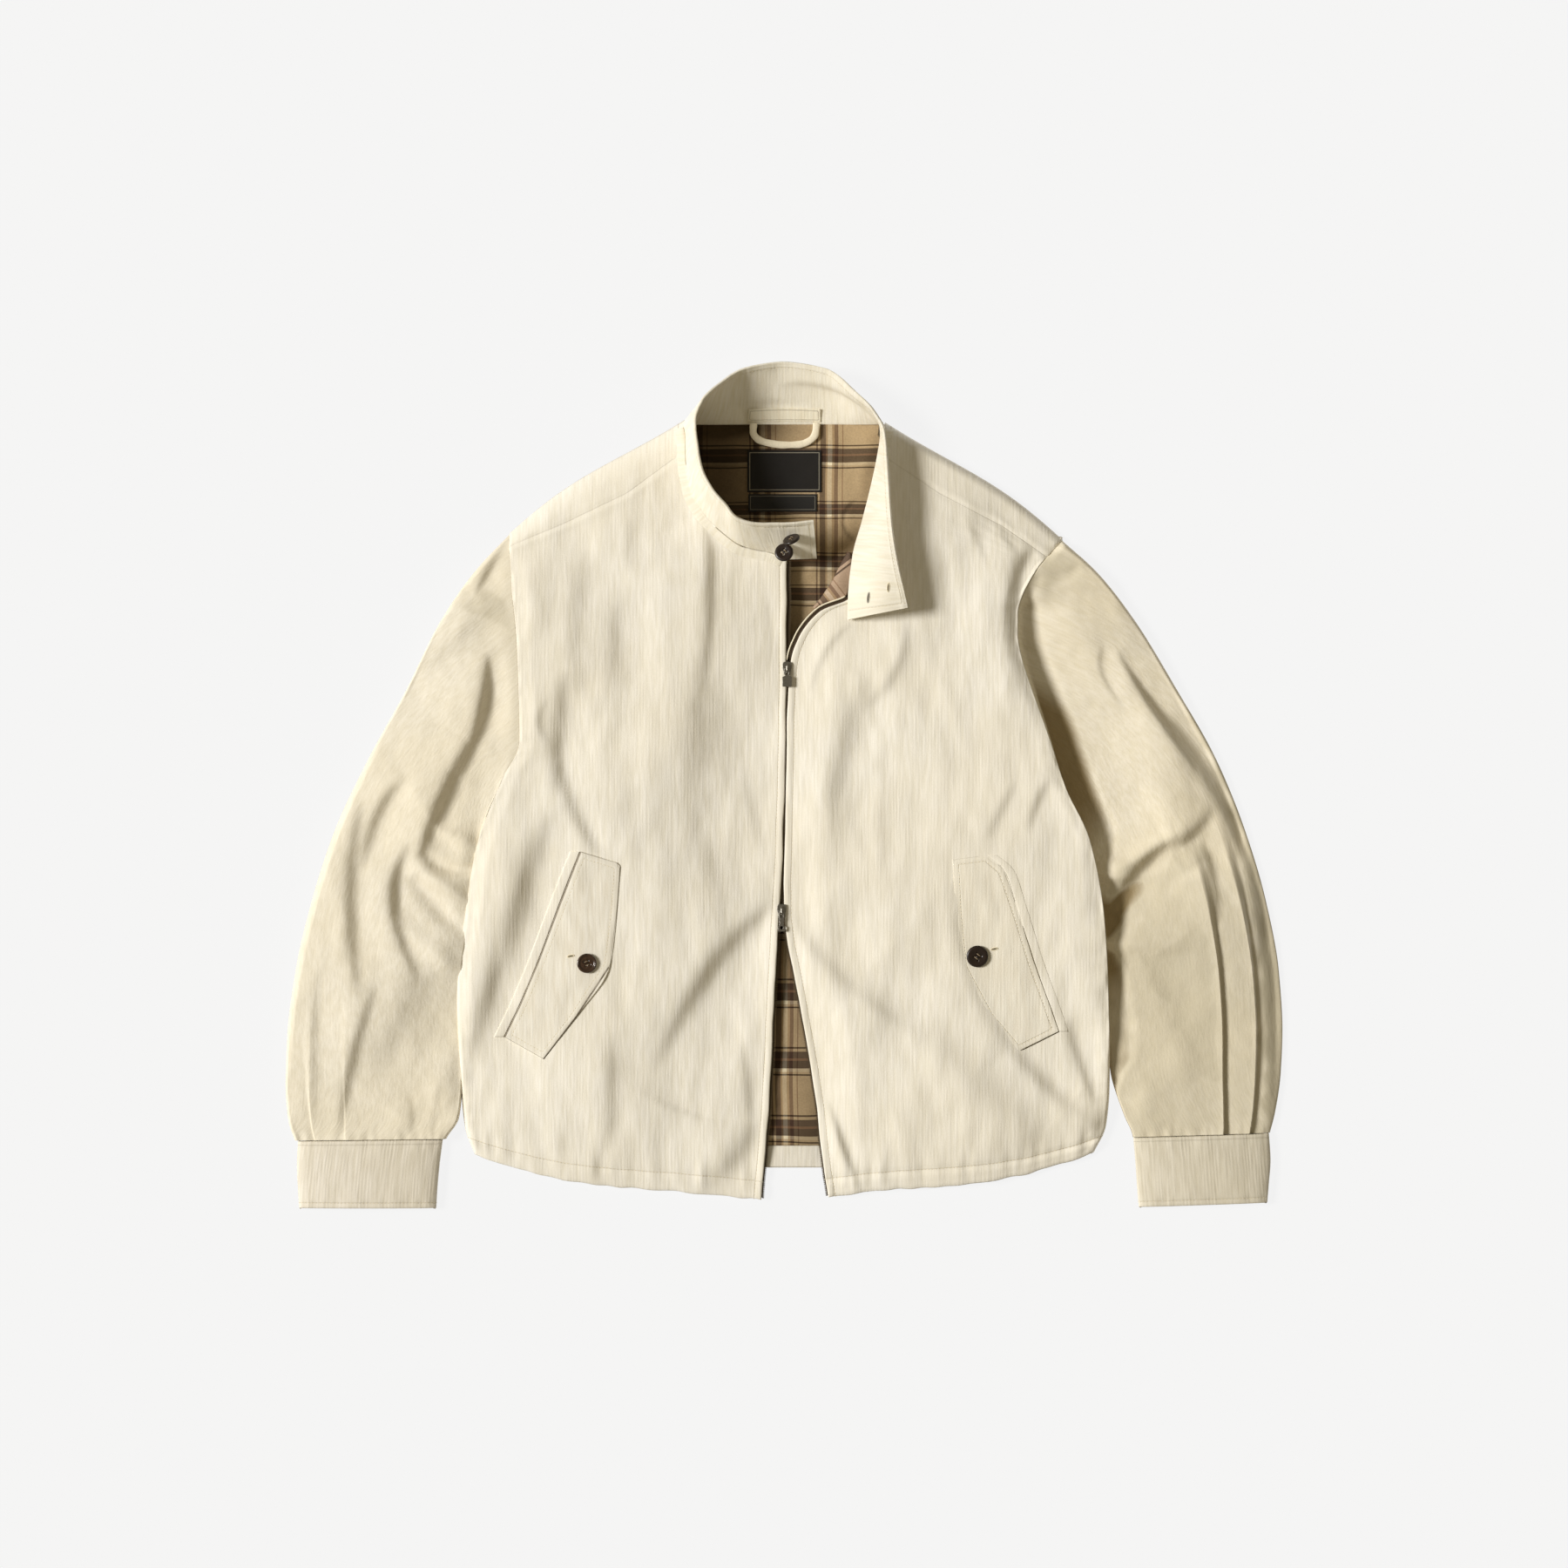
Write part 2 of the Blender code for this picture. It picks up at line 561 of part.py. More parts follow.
def collar_seam(stand):
    if stand.seam_on == "right":
        edge = at_row(FRONT_RIGHT, stand.at)
        return (Vector((edge.inner_x, edge.inner_y, stand.seam_z))
                + edge_normal(FRONT_RIGHT, stand.at) * COLLAR_INSET)
    if stand.seam_on == "left":
        edge = at_row(FRONT_LEFT, stand.at)
        return (Vector((edge.inner_x, edge.inner_y, stand.seam_z))
                + edge_normal(FRONT_LEFT, stand.at) * COLLAR_INSET)
    if stand.seam_on == "back":
        return Vector((stand.at, BACK_NECK + 0.9, stand.seam_z))
    if stand.seam_on == "tab":
        return Vector((stand.at, 207.5, stand.seam_z))
    return Vector((59, stand.at, stand.seam_z))


def collar_point(section, height):
    """Point of the collar's middle layer, by section and by height from 0 at the seam to 1."""
    columns = []
    for stand in COLLAR:
        seam = collar_seam(stand)
        columns.append((*seam, stand.free_x, stand.free_y, stand.free_z, stand.roll))
    c = [along([row[i] for row in columns], section) for i in range(7)]
    seam, free = Vector(c[0:3]), Vector(c[3:6])
    return seam.lerp(free, height) + Vector((0, 0, c[6] * sin(pi * height)))


def build_collar():
    heights = [0, .2, .4, .6, .8, 1]
    sections = [i / 2 for i in range(2 * len(COLLAR) - 1)]
    rows = [[collar_point(s, h) for h in heights] for s in sections]
    loft("collar", rows, "body", DOUBLE_CLOTH, offset=0.0)
    return rows


def back_outline(inset, hem, neck):
    """Outline of a layer of the back: under the fronts' rim, or inset from it."""
    def side(rows, creases, sign):
        points = []
        for v in front_stations(rows):
            p = front_point(rows, creases, 1.0, v)
            if p.y > hem + 22:
                points.append((p.x - sign * inset, p.y))
        shoulder = []
        for u in (.85, .7, .55, .4, .25, .1, 0):
            x, y, _ = front_plan(rows, u, len(rows) - 1)
            shoulder.append((x - sign * inset * 0.5, y - inset * 0.9))
        return [p for p in points if p[1] < 230 - inset] + shoulder
    right = side(FRONT_RIGHT, CREASES_RIGHT, -1)
    left = side(FRONT_LEFT, CREASES_LEFT, 1)
    curb = [(-262 + inset, hem + 6), (-230 + inset, hem + 1.5), (-150, hem)]
    hem_line = [(150, hem), (230 - inset, hem + 1.5), (264 - inset, hem + 6)]
    neck_line = [(-60, neck), (60, neck)]
    right = [p for p in right if p[1] < neck - 1 or abs(p[0]) > 90]
    left = [p for p in left if p[1] < neck - 1 or abs(p[0]) > 90]
    return hem_line + left + neck_line[::-1] + right[::-1] + curb


def build_back():
    plate("back_panel", back_outline(0, BACK_HEM, BACK_NECK), [], 0, CLOTH, "body")
    facing = [(-240, BACK_HEM + 2), (-150, BACK_HEM + 0.5), (150, BACK_HEM + 0.5),
              (240, BACK_HEM + 2), (240, FACING_TOP), (-240, FACING_TOP)]
    plate("back_hem_facing", facing, [], LINING_Z, CLOTH, "body")
    lining = back_outline(LINING_INSET, FACING_TOP + SEAM_GAP, BACK_NECK - 0.6)
    plate("back_lining", lining, [], LINING_Z, CLOTH, "lining")


def tape_rows(rows, creases, first, last, below, above):
    """A zip tape under a front's edge, standing out past it where the zip is open."""
    drop = Vector((0, 0, -CLOTH - TAPE_DROP))
    grid = []
    for v in [first] + [v for v in front_stations(rows) if first < v < last] + [last]:
        section = at_row(rows, v)
        across = hypot(section.outer_x - section.inner_x, section.outer_y - section.inner_y)
        edge = front_point(rows, creases, 0.0, v)
        under = front_point(rows, creases, TAPE_UNDER / across, v)
        closed = eased((edge.y - ZIP_CLOSED_FROM + 12) / 12) * eased((ZIP_CLOSED_TO + 12 - edge.y) / 12)
        reach = TAPE_CLOSED * closed + (below if edge.y < 0 else above) * (1 - closed)
        grid.append([under + drop, edge + drop, edge + edge_normal(rows, v) * reach + drop])
    return grid


def ribbon_rows(path, width):
    """Both edges of a flat strip along a path."""
    grid = []
    for i, p in enumerate(path):
        a, b = path[max(i - 1, 0)], path[min(i + 1, len(path) - 1)]
        d = (b - a).normalized()
        side = Vector((-d.y, d.x, 0)) * width / 2
        grid.append([p - side, p, p + side])
    return grid


def build_flap(name, edges, tree):
    grid = []
    for i in range(11):
        e = at_row(edges, i / 2)
        row = []
        for k in range(6):
            x = e.attached_x + (e.free_x - e.attached_x) * k / 5
            y = e.attached_y + (e.free_y - e.attached_y) * k / 5
            place, _ = height_on(tree, x, y)
            row.append(place + Vector((0, 0, FLAP + FLAP_LIFT)))
        grid.append(row)
    loft(name, grid, "body", FLAP)
    return grid


def build_welt(name, edges, tree, side):
    grid = []
    for i in range(11):
        e = at_row(edges, i / 2)
        row = []
        for k in range(3):
            x = e.attached_x + side * (0.8 + WELT_WIDTH * k / 2)
            y = e.attached_y
            place, _ = height_on(tree, x, y)
            row.append(place + Vector((0, 0, WELT + 0.4)))
        grid.append(row)
    loft(name, grid, "body", WELT)


def build_button(name, radius, place, normal):
    """Turned button with a rim and four holes, lying on a surface."""
    mesh = bpy.data.meshes.new(name)
    bm = bmesh.new()
    profile = [(0, BUTTON_THICK * .62), (radius * .62, BUTTON_THICK * .62), (radius * .72, BUTTON_THICK),
               (radius * .9, BUTTON_THICK), (radius, BUTTON_THICK * .6), (radius * BUTTON_FOOT, 0), (0, 0)]
    verts = [bm.verts.new((x * MM, 0, z * MM)) for x, z in profile]
    for a, b in zip(verts, verts[1:]):
        bm.edges.new((a, b))
    bm.to_mesh(mesh)
    bm.free()
    obj = add_object(name, mesh, "button", 0.3)
    turn = obj.modifiers.new("turn", "SCREW")
    turn.steps = turn.render_steps = 16
    turn.use_merge_vertices = True
    turn.merge_threshold = 1e-6
    turn.use_normal_calculate = True
    for i in range(4):
        angle = pi / 4 + i * pi / 2
        hole = bmesh.new()
        bmesh.ops.create_cone(hole, cap_ends=True, segments=6, radius1=BUTTON_HOLE * MM,
                              radius2=BUTTON_HOLE * MM, depth=3 * BUTTON_THICK * MM)
        bmesh.ops.translate(hole, verts=hole.verts, vec=(radius * .26 * cos(angle) * MM,
                                                         radius * .26 * sin(angle) * MM, 0))
        cutter_mesh = bpy.data.meshes.new(f"{name}_hole_{i}")
        hole.to_mesh(cutter_mesh)
        hole.free()
        cutter = bpy.data.objects.new(f"{name}_hole_{i}", cutter_mesh)
        CUTTERS.objects.link(cutter)
        cutter.hide_render = True
        cutter.display_type = "WIRE"
        cutter.parent = obj
        cut = obj.modifiers.new(f"hole_{i}", "BOOLEAN")
        cut.operation = "DIFFERENCE"
        cut.object = cutter
    obj.location = place * MM
    obj.rotation_mode = "QUATERNION"
    obj.rotation_quaternion = normal.to_track_quat("Z", "Y")
    return obj


def build_slider(name, x, y, z):
    """Slider body with the bridge that holds its pull."""
    half_w, half_l = SLIDER["width"] / 2, SLIDER["length"] / 2
    bm = bmesh.new()
    bmesh.ops.create_cube(bm, size=1)
    bmesh.ops.scale(bm, verts=bm.verts, vec=(2 * half_w * MM, 2 * half_l * MM, SLIDER["plate"] * MM))
    for vert in bm.verts:
        if vert.co.y < 0:
            vert.co.x *= 0.72
    upright = [e for e in bm.edges if abs(e.verts[0].co.z - e.verts[1].co.z) > 1e-6]
    bmesh.ops.bevel(bm, geom=upright, offset=1.4 * MM, segments=2, affect="EDGES", profile=0.5)
    bmesh.ops.translate(bm, verts=bm.verts, vec=(x * MM, y * MM, (z + SLIDER["plate"] / 2) * MM))
    mesh = bpy.data.meshes.new(name)
    bm.to_mesh(mesh)
    bm.free()
    obj = add_object(name, mesh, "metal", 0.35, 1.0, smooth=False)
    length, room, post = BRIDGE["length"], BRIDGE["room"], BRIDGE["post"]
    arch = [(-length / 2, -0.5), (-length / 2, room), (-length / 2 + 0.8, room + post),
            (length / 2 - 0.8, room + post), (length / 2, room), (length / 2, -0.5),
            (length / 2 - post, -0.5), (length / 2 - post, room), (post - length / 2, room),
            (post - length / 2, -0.5)]
    bridge = bmesh.new()
    sides = []
    for s in (-1, 1):
        sides.append([bridge.verts.new(((x + s * BRIDGE["width"] / 2) * MM, (y + a) * MM,
                                        (z + SLIDER["plate"] + b) * MM)) for a, b in arch])
    bridge.faces.new(sides[0])
    bridge.faces.new(sides[1][::-1])
    for i in range(len(arch)):
        j = (i + 1) % len(arch)
        bridge.faces.new((sides[0][i], sides[1][i], sides[1][j], sides[0][j]))
    bmesh.ops.recalc_face_normals(bridge, faces=bridge.faces)
    bridge_mesh = bpy.data.meshes.new(name + "_bridge")
    bridge.to_mesh(bridge_mesh)
    bridge.free()
    cutter = bpy.data.objects.new(name + "_bridge", bridge_mesh)
    CUTTERS.objects.link(cutter)
    cutter.hide_render = True
    cutter.display_type = "WIRE"
    join = obj.modifiers.new("bridge", "BOOLEAN")
    join.operation = "UNION"
    join.object = cutter


def build_pull(name, x, y, z, length, width):
    """Pull with an eye round the bridge, its bar on the joint's axis."""
    bar, eye, arm = PULL["bar"], PULL["eye"], PULL["arm"]
    half = PULL["eye_width"] / 2 + arm
    axis_z = z + SLIDER["plate"] + BRIDGE["room"] / 2
    outline = [(x - half, y + bar / 2), (x + half, y + bar / 2), (x + half, y - bar / 2 - eye),
               (x + width / 2, y - length + 2.4), (x + width / 2 - 0.6, y - length),
               (x - width / 2 + 0.6, y - length), (x - width / 2, y - length + 2.4),
               (x - half, y - bar / 2 - eye)]
    hole_half = PULL["eye_width"] / 2
    hole = [(x - hole_half, y - bar / 2), (x - hole_half, y - bar / 2 - eye),
            (x + hole_half, y - bar / 2 - eye), (x + hole_half, y - bar / 2)]
    plate(name, outline, [hole], axis_z - PULL["thick"] / 2, PULL["thick"], "metal", metal=True)


def rectangle(x, y, width, height):
    return [(x - width / 2, y - height / 2), (x + width / 2, y - height / 2),
            (x + width / 2, y + height / 2), (x - width / 2, y + height / 2)]


def build_collar_buttons():
    for b in COLLAR_BUTTONS:
        place = collar_point(b.section, b.height)
        across = collar_point(b.section + 0.2, b.height) - collar_point(b.section - 0.2, b.height)
        up = collar_point(b.section, b.height + 0.1) - collar_point(b.section, b.height - 0.1)
        normal = up.cross(across).normalized()
        normal = normal if normal.z > 0 else -normal
        facing = normal.lerp(Vector((0, 0, 1)), b.upright).normalized()
        tip = BUTTON_FOOT * b.radius * sqrt(max(0.0, 1 - normal.dot(facing) ** 2))
        build_button(b.name, b.radius, place + normal * (DOUBLE_CLOTH / 2 + BUTTON_LIFT + tip), facing)


def build_trims():
    top = LINING_Z + CLOTH + SEAM_GAP
    path = [Vector((x, y, top + LOOP_THICK)) for x, y in LOOP]
    loft("hanger_loop", ribbon_rows(path, LOOP_WIDTH), "body", LOOP_THICK)
    plate("label", rectangle(*LABEL), [], top, LABEL_THICK, "label")
    plate("size_tab", rectangle(*SIZE_TAB), [], top, LABEL_THICK, "label")
    turned = []
    for t in TURNED_LINING:
        edge = front_point(FRONT_LEFT, CREASES_LEFT, 0.0, t.section)
        edge += edge_normal(FRONT_LEFT, t.section) * t.out - Vector((0, 0, CLOTH + TAPE_DROP))
        roll = Vector((t.free_x, t.free_y, edge.z - TURNED_FALL))
        turned.append([edge, edge.lerp(roll, 0.5), roll])
    loft("front_left_lining", turned, "lining", CLOTH)


def build_zip():
    for name, rows, creases, top, below in (
            ("zip_tape_right", FRONT_RIGHT, CREASES_RIGHT, 8.9, TAPE_OUT),
            ("zip_tape_left", FRONT_LEFT, CREASES_LEFT, 10.8, 1.0)):
        lengths = (("_end", TAPE_HEM, TAPE_JOIN - TAPE_JOIN_GAP), ("", TAPE_JOIN, top))
        for ending, first, last in lengths:
            loft(name + ending, tape_rows(rows, creases, first, last, below, TAPE_OUT), "tape", TAPE)
    for s in SLIDERS:
        build_slider("zip_slider_" + s.name, s.x, s.y, s.z)
        build_pull("zip_pull_" + s.name, s.x, s.y, s.z, s.pull_length, s.pull_width)


def main():
    build_back()
    right = build_front("front_right", FRONT_RIGHT, CREASES_RIGHT)
    left = build_front("front_left", FRONT_LEFT, CREASES_LEFT)
    loft("sleeve_right", sleeve_rows(SLEEVE_RIGHT, PLEATS_RIGHT, CREASES_SLEEVE_RIGHT, FRONT_RIGHT,
                                     CREASES_RIGHT, -1), "sleeve", CLOTH, closed=True)
    loft("sleeve_left", sleeve_rows(SLEEVE_LEFT, PLEATS_LEFT, CREASES_SLEEVE_LEFT, FRONT_LEFT,
                                    CREASES_LEFT, 1), "sleeve", CLOTH, closed=True)
    loft("cuff_right", cuff_rows(CUFF_RIGHT), "cuff", DOUBLE_CLOTH, closed=True)
    loft("cuff_left", cuff_rows(CUFF_LEFT), "cuff", DOUBLE_CLOTH, closed=True)
    build_collar()
    for side, sheet, edges in ((-1, right, FLAP_RIGHT), (1, left, FLAP_LEFT)):
        name = "right" if side < 0 else "left"
        tree = surface_of(sheet)
        flap = build_flap("pocket_flap_" + name, edges, tree)
        build_welt("pocket_welt_" + name, edges, tree, side)
        button = FLAP_BUTTONS[side > 0]
        place, normal = height_on(surface_of(flap), button.x, button.y)
        build_button(button.name, button.radius, place + normal * BUTTON_LIFT, normal)
    build_collar_buttons()
    build_trims()
    build_zip()


for old in list(bpy.data.objects):
    bpy.data.objects.remove(old, do_unlink=True)
PARTS = bpy.data.collections.new("harrington_jacket")
CUTTERS = bpy.data.collections.new("cutters")
bpy.context.scene.collection.children.link(PARTS)
bpy.context.scene.collection.children.link(CUTTERS)
main()
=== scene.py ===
from math import pi

import bmesh
import bpy
import numpy as np
from mathutils import Matrix, Vector, noise
from mathutils.bvhtree import BVHTree


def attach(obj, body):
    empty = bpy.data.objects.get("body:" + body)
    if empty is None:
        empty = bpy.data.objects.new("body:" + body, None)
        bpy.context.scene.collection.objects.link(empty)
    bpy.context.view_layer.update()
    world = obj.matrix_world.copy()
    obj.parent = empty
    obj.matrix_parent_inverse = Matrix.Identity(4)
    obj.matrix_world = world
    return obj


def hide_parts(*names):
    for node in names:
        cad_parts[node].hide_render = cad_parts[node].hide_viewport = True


# Harrington jacket laid flat on its back. Tables are in millimetres, +Y runs towards the collar,
# and the wearer's right is at -X: side -1 is the right one and side 1 the left one. Meshes are
# made in metres, in the frame's own axes.

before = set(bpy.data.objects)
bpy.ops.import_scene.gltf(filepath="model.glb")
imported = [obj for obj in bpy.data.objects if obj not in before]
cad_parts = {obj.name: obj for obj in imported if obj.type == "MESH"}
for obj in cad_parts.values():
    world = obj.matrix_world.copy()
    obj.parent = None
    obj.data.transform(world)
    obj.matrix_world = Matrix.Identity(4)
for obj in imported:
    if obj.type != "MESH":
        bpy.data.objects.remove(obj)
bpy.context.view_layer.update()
mm = 0.001
cloth = "jacket"       # the body that all the cloth rides on
sideNames = {-1: "Right", 1: "Left"}
clothPieces = []       # piece, its cut, how it is held, what it rests on, whether it is a tube


def linear(hexColour):
    channels = [int(hexColour[i:i + 2], 16) / 255 for i in (1, 3, 5)]
    return tuple(c / 12.92 if c <= 0.04045 else ((c + 0.055) / 1.055) ** 2.4 for c in channels) + (1.0,)


def readRows(table, t):
    # every column of a table between its rows, without overshoot
    table, t = np.asarray(table, float), np.asarray(t, float)
    steps = np.diff(table, axis=0)
    before, after = steps[:-1], steps[1:]
    total = before + after
    inner = np.where(before * after > 0, 2 * before * after / np.where(total == 0, 1, total), 0)
    slope = np.vstack([steps[:1], inner, steps[-1:]])
    row = np.clip(t.astype(int), 0, len(table) - 2)
    f = (t - row)[..., None]
    values = (table[row] * (2 * f ** 3 - 3 * f ** 2 + 1) + slope[row] * (f ** 3 - 2 * f ** 2 + f)
              + table[row + 1] * (3 * f ** 2 - 2 * f ** 3) + slope[row + 1] * (f ** 3 - f ** 2))
    return np.moveaxis(values, -1, 0)


def columns(table, t):
    return [c[:, None] for c in readRows(table, t)]


def grid(*parts):
    return np.stack(np.broadcast_arrays(*parts), -1)


def lerp(a, b, t):
    return a + (b - a) * t


def rolled(t):
    return np.sqrt(1 - (1 - np.clip(t, 0, 1)) ** 2)


def eased(t):
    t = np.clip(t, 0, 1)
    return t * t * (3 - 2 * t)


def bell(d):
    return np.exp(-d ** 2)


def spread(count, crowding=0.7):
    # places from 0 to 1 that crowd towards both ends
    t = np.linspace(0, 1, count)
    return lerp(t, 0.5 - 0.5 * np.cos(pi * t), crowding)


def roughness(x, y, size, seed):
    # smooth random field between about -1 and 1
    flat = [noise.noise(Vector((a / size, b / size, seed))) for a, b in zip(x.ravel(), y.ravel())]
    return np.array(flat).reshape(x.shape) * 1.6


def nearestOn(path, x, y):
    # distance to a path, 1 on its left and -1 on its right, and how far along it
    best, side, place = np.full(x.shape, 1e9), np.ones(x.shape), np.zeros(x.shape)
    for i, ((ax, ay), (bx, by)) in enumerate(zip(path, path[1:])):
        dx, dy = bx - ax, by - ay
        s = np.clip(((x - ax) * dx + (y - ay) * dy) / (dx * dx + dy * dy), 0, 1)
        ox, oy = x - ax - s * dx, y - ay - s * dy
        closer = ox * ox + oy * oy < best
        best = np.where(closer, ox * ox + oy * oy, best)
        side = np.where(closer, np.sign(dx * oy - dy * ox), side)
        place = np.where(closer, (i + s) / (len(path) - 1), place)
    return np.sqrt(best), side, place


def signedDistance(path, x, y):
    distance, side, _ = nearestOn(path, x, y)
    return distance * side


drawing = {"square": 0.8, "middle": 900}     # size of a square in mm, and which one is at the origin


def onDrawing(x, y):
    # places on the drawing grid that folds and patches are written on, with y downwards
    return x / drawing["square"] + drawing["middle"], drawing["middle"] - y / drawing["square"]


def foldHeight(folds, x, y):
    # each fold is a curve through three places of the drawing grid. width is in squares and heights
    # are in mm. ridge lifts the middle, and drop is how far the cloth falls towards the side at +X
    x, y = onDrawing(x, y)
    total = np.zeros_like(x)
    t = np.linspace(0, 1, 17)
    weights = np.array([2 * t * t - 3 * t + 1, 4 * t - 4 * t * t, 2 * t * t - t])
    for *curve, width, ridge, drop in folds:
        px, py = np.reshape(curve, (3, 2)).T @ weights
        reach = (10 if drop else 2.6) * width
        near = ((x > px.min() - reach) & (x < px.max() + reach)
                & (y > py.min() - reach) & (y < py.max() + reach))
        if near.any():
            distance, side, place = nearestOn(list(zip(px, py)), x[near], y[near])
            fade = np.sin(pi * np.clip(place, 0, 1)) ** 0.8
            d = -distance * side / (width * (0.55 + 0.45 * fade))
            total[near] += (ridge * bell(d) - 0.5 * drop * np.tanh(1.6 * d) * bell(d / 5)) * fade
    return total


def linked(name, data):
    piece = bpy.data.objects.new(name, data)
    bpy.context.collection.objects.link(piece)
    return piece


def meshObject(name, bm, smooth=True):
    mesh = bpy.data.meshes.new(name)
    bm.to_mesh(mesh)
    bm.free()
    if smooth:
        mesh.shade_smooth()
    return linked(name, mesh)


def dress(piece, material, slot, body, *nodes):
    piece.data.materials.clear()
    piece.data.materials.append(material)
    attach(piece, body)
    if nodes:
        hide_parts(*nodes)
    return piece


def sheetPiece(name, points, material, nodes, wall, grain=None, seams=None, napAndPaintedShade=None, closed=False,
               offset=-1.0, slot="cloth", held="laid", restsOn=(), cut=None):
    # points and grain are grids, and a closed grid has one more column of grain than of points
    grain = points[..., :2] if grain is None else grain
    rows, cols = points.shape[:2]
    r, c = (a.ravel() for a in np.mgrid[:rows - 1, :cols if closed else cols - 1])
    corners = [(r, c), (r, c + 1), (r + 1, c + 1), (r + 1, c)]
    middle = points[:, :max(cols // 3, 2)] if closed else points
    if np.cross(np.gradient(middle, axis=1), np.gradient(middle, axis=0))[..., 2].sum() < 0:
        corners = corners[::-1]
    faces = np.stack([a * cols + b % cols for a, b in corners], 1)
    loops = np.stack([a * grain.shape[1] + b for a, b in corners], 1)
    mesh = bpy.data.meshes.new(name)
    mesh.from_pydata((points.reshape(-1, 3) * mm).tolist(), [], faces.tolist())
    layer = mesh.uv_layers.new(name="grain")
    layer.data.foreach_set("uv", (grain.reshape(-1, 2)[loops.ravel()] * mm).ravel())
    if seams is not None:
        mark = mesh.attributes.new("seams", "FLOAT_VECTOR", "POINT")
        mark.data.foreach_set("vector", (seams.reshape(-1, 3) * mm).ravel())
    if napAndPaintedShade is not None:
        mark = mesh.attributes.new("napAndPaintedShade", "FLOAT", "POINT")
        mark.data.foreach_set("value", napAndPaintedShade.ravel().astype(float))
    mesh.shade_smooth()
    piece = linked(name, mesh)
    solid = piece.modifiers.new("wall", "SOLIDIFY")
    solid.thickness = wall * mm
    solid.offset = offset
    clothPieces.append((piece, points if cut is None else cut, held, list(restsOn), closed))
    return dress(piece, material, slot, cloth, *nodes.split())


def treeOf(points):
    rows, cols = points.shape[:2]
    faces = [(a * cols + b, a * cols + b + 1, (a + 1) * cols + b + 1, (a + 1) * cols + b)
             for a in range(rows - 1) for b in range(cols - 1)]
    return BVHTree.FromPolygons([Vector(p) for p in points.reshape(-1, 3)], faces)


def dropOn(tree, x, y, above=300, near=15):
    # the surface straight below a place, or else the nearest part of it
    place, normal, _, _ = tree.ray_cast(Vector((x, y, above)), Vector((0, 0, -1)))
    if place is None:
        place, normal, _, _ = tree.find_nearest(Vector((x, y, near)))
    return place, (normal if normal.z > 0 else -normal)


def heightsOn(tree, x, y):
    return np.array([dropOn(tree, a, b)[0].z for a, b in zip(x.ravel(), y.ravel())]).reshape(x.shape)


def setInputs(tree, node, values):
    for key, value in values.items():
        if isinstance(value, bpy.types.NodeSocket):
            tree.links.new(value, node.inputs[key])
        else:
            node.inputs[key].default_value = value


def addNode(tree, kind, inputs=(), **settings):
    # inputs by name, or the first ones in order
    node = tree.nodes.new(kind)
    for name, value in settings.items():
        setattr(node, name, value)
    setInputs(tree, node, inputs if isinstance(inputs, dict) else dict(enumerate(inputs)))
    return node


def maths(tree, operation, a, b=0.0):
    return addNode(tree, "ShaderNodeMath", (a, b), operation=operation).outputs[0]


def ranged(tree, *values, **settings):
    # value, then from low and high to low and high
    return addNode(tree, "ShaderNodeMapRange", values, **settings).outputs[0]


def mixed(tree, factor, a, b, blend="MIX"):
    return addNode(tree, "ShaderNodeMix", {0: factor, 6: a, 7: b}, data_type="RGBA",
                   blend_type=blend).outputs[2]


def dimmed(tree, colour, level):
    grey = addNode(tree, "ShaderNodeCombineColor", (level, level, level)).outputs[0]
    return mixed(tree, 1.0, colour, grey, "MULTIPLY")


def partsOf(tree, vector):
    return addNode(tree, "ShaderNodeSeparateXYZ", (vector,)).outputs


def speckles(tree, vector, scale, detail, rough=0.5):
    return addNode(tree, "ShaderNodeTexNoise", {"Vector": vector, "Scale": scale, "Detail": detail,
                                                "Roughness": rough}).outputs["Fac"]


def markOf(tree, name, output):
    return addNode(tree, "ShaderNodeAttribute", attribute_name=name).outputs[output]


def grainOf(tree):
    return addNode(tree, "ShaderNodeUVMap", uv_map="grain").outputs[0]


def newMaterial(name):
    # its node tree and the place in the frame
    material = bpy.data.materials.new(name)
    material.use_nodes = True
    tree = material.node_tree
    return material, tree, addNode(tree, "ShaderNodeTexCoord").outputs["Object"]


def finish(material, colour, height, strength, distance, values):
    tree = material.node_tree
    bump = addNode(tree, "ShaderNodeBump", {"Height": height, "Strength": strength, "Distance": distance * mm})
    setInputs(tree, tree.nodes["Principled BSDF"],
              {"Base Color": colour, "Normal": bump.outputs[0], **values})
    return material


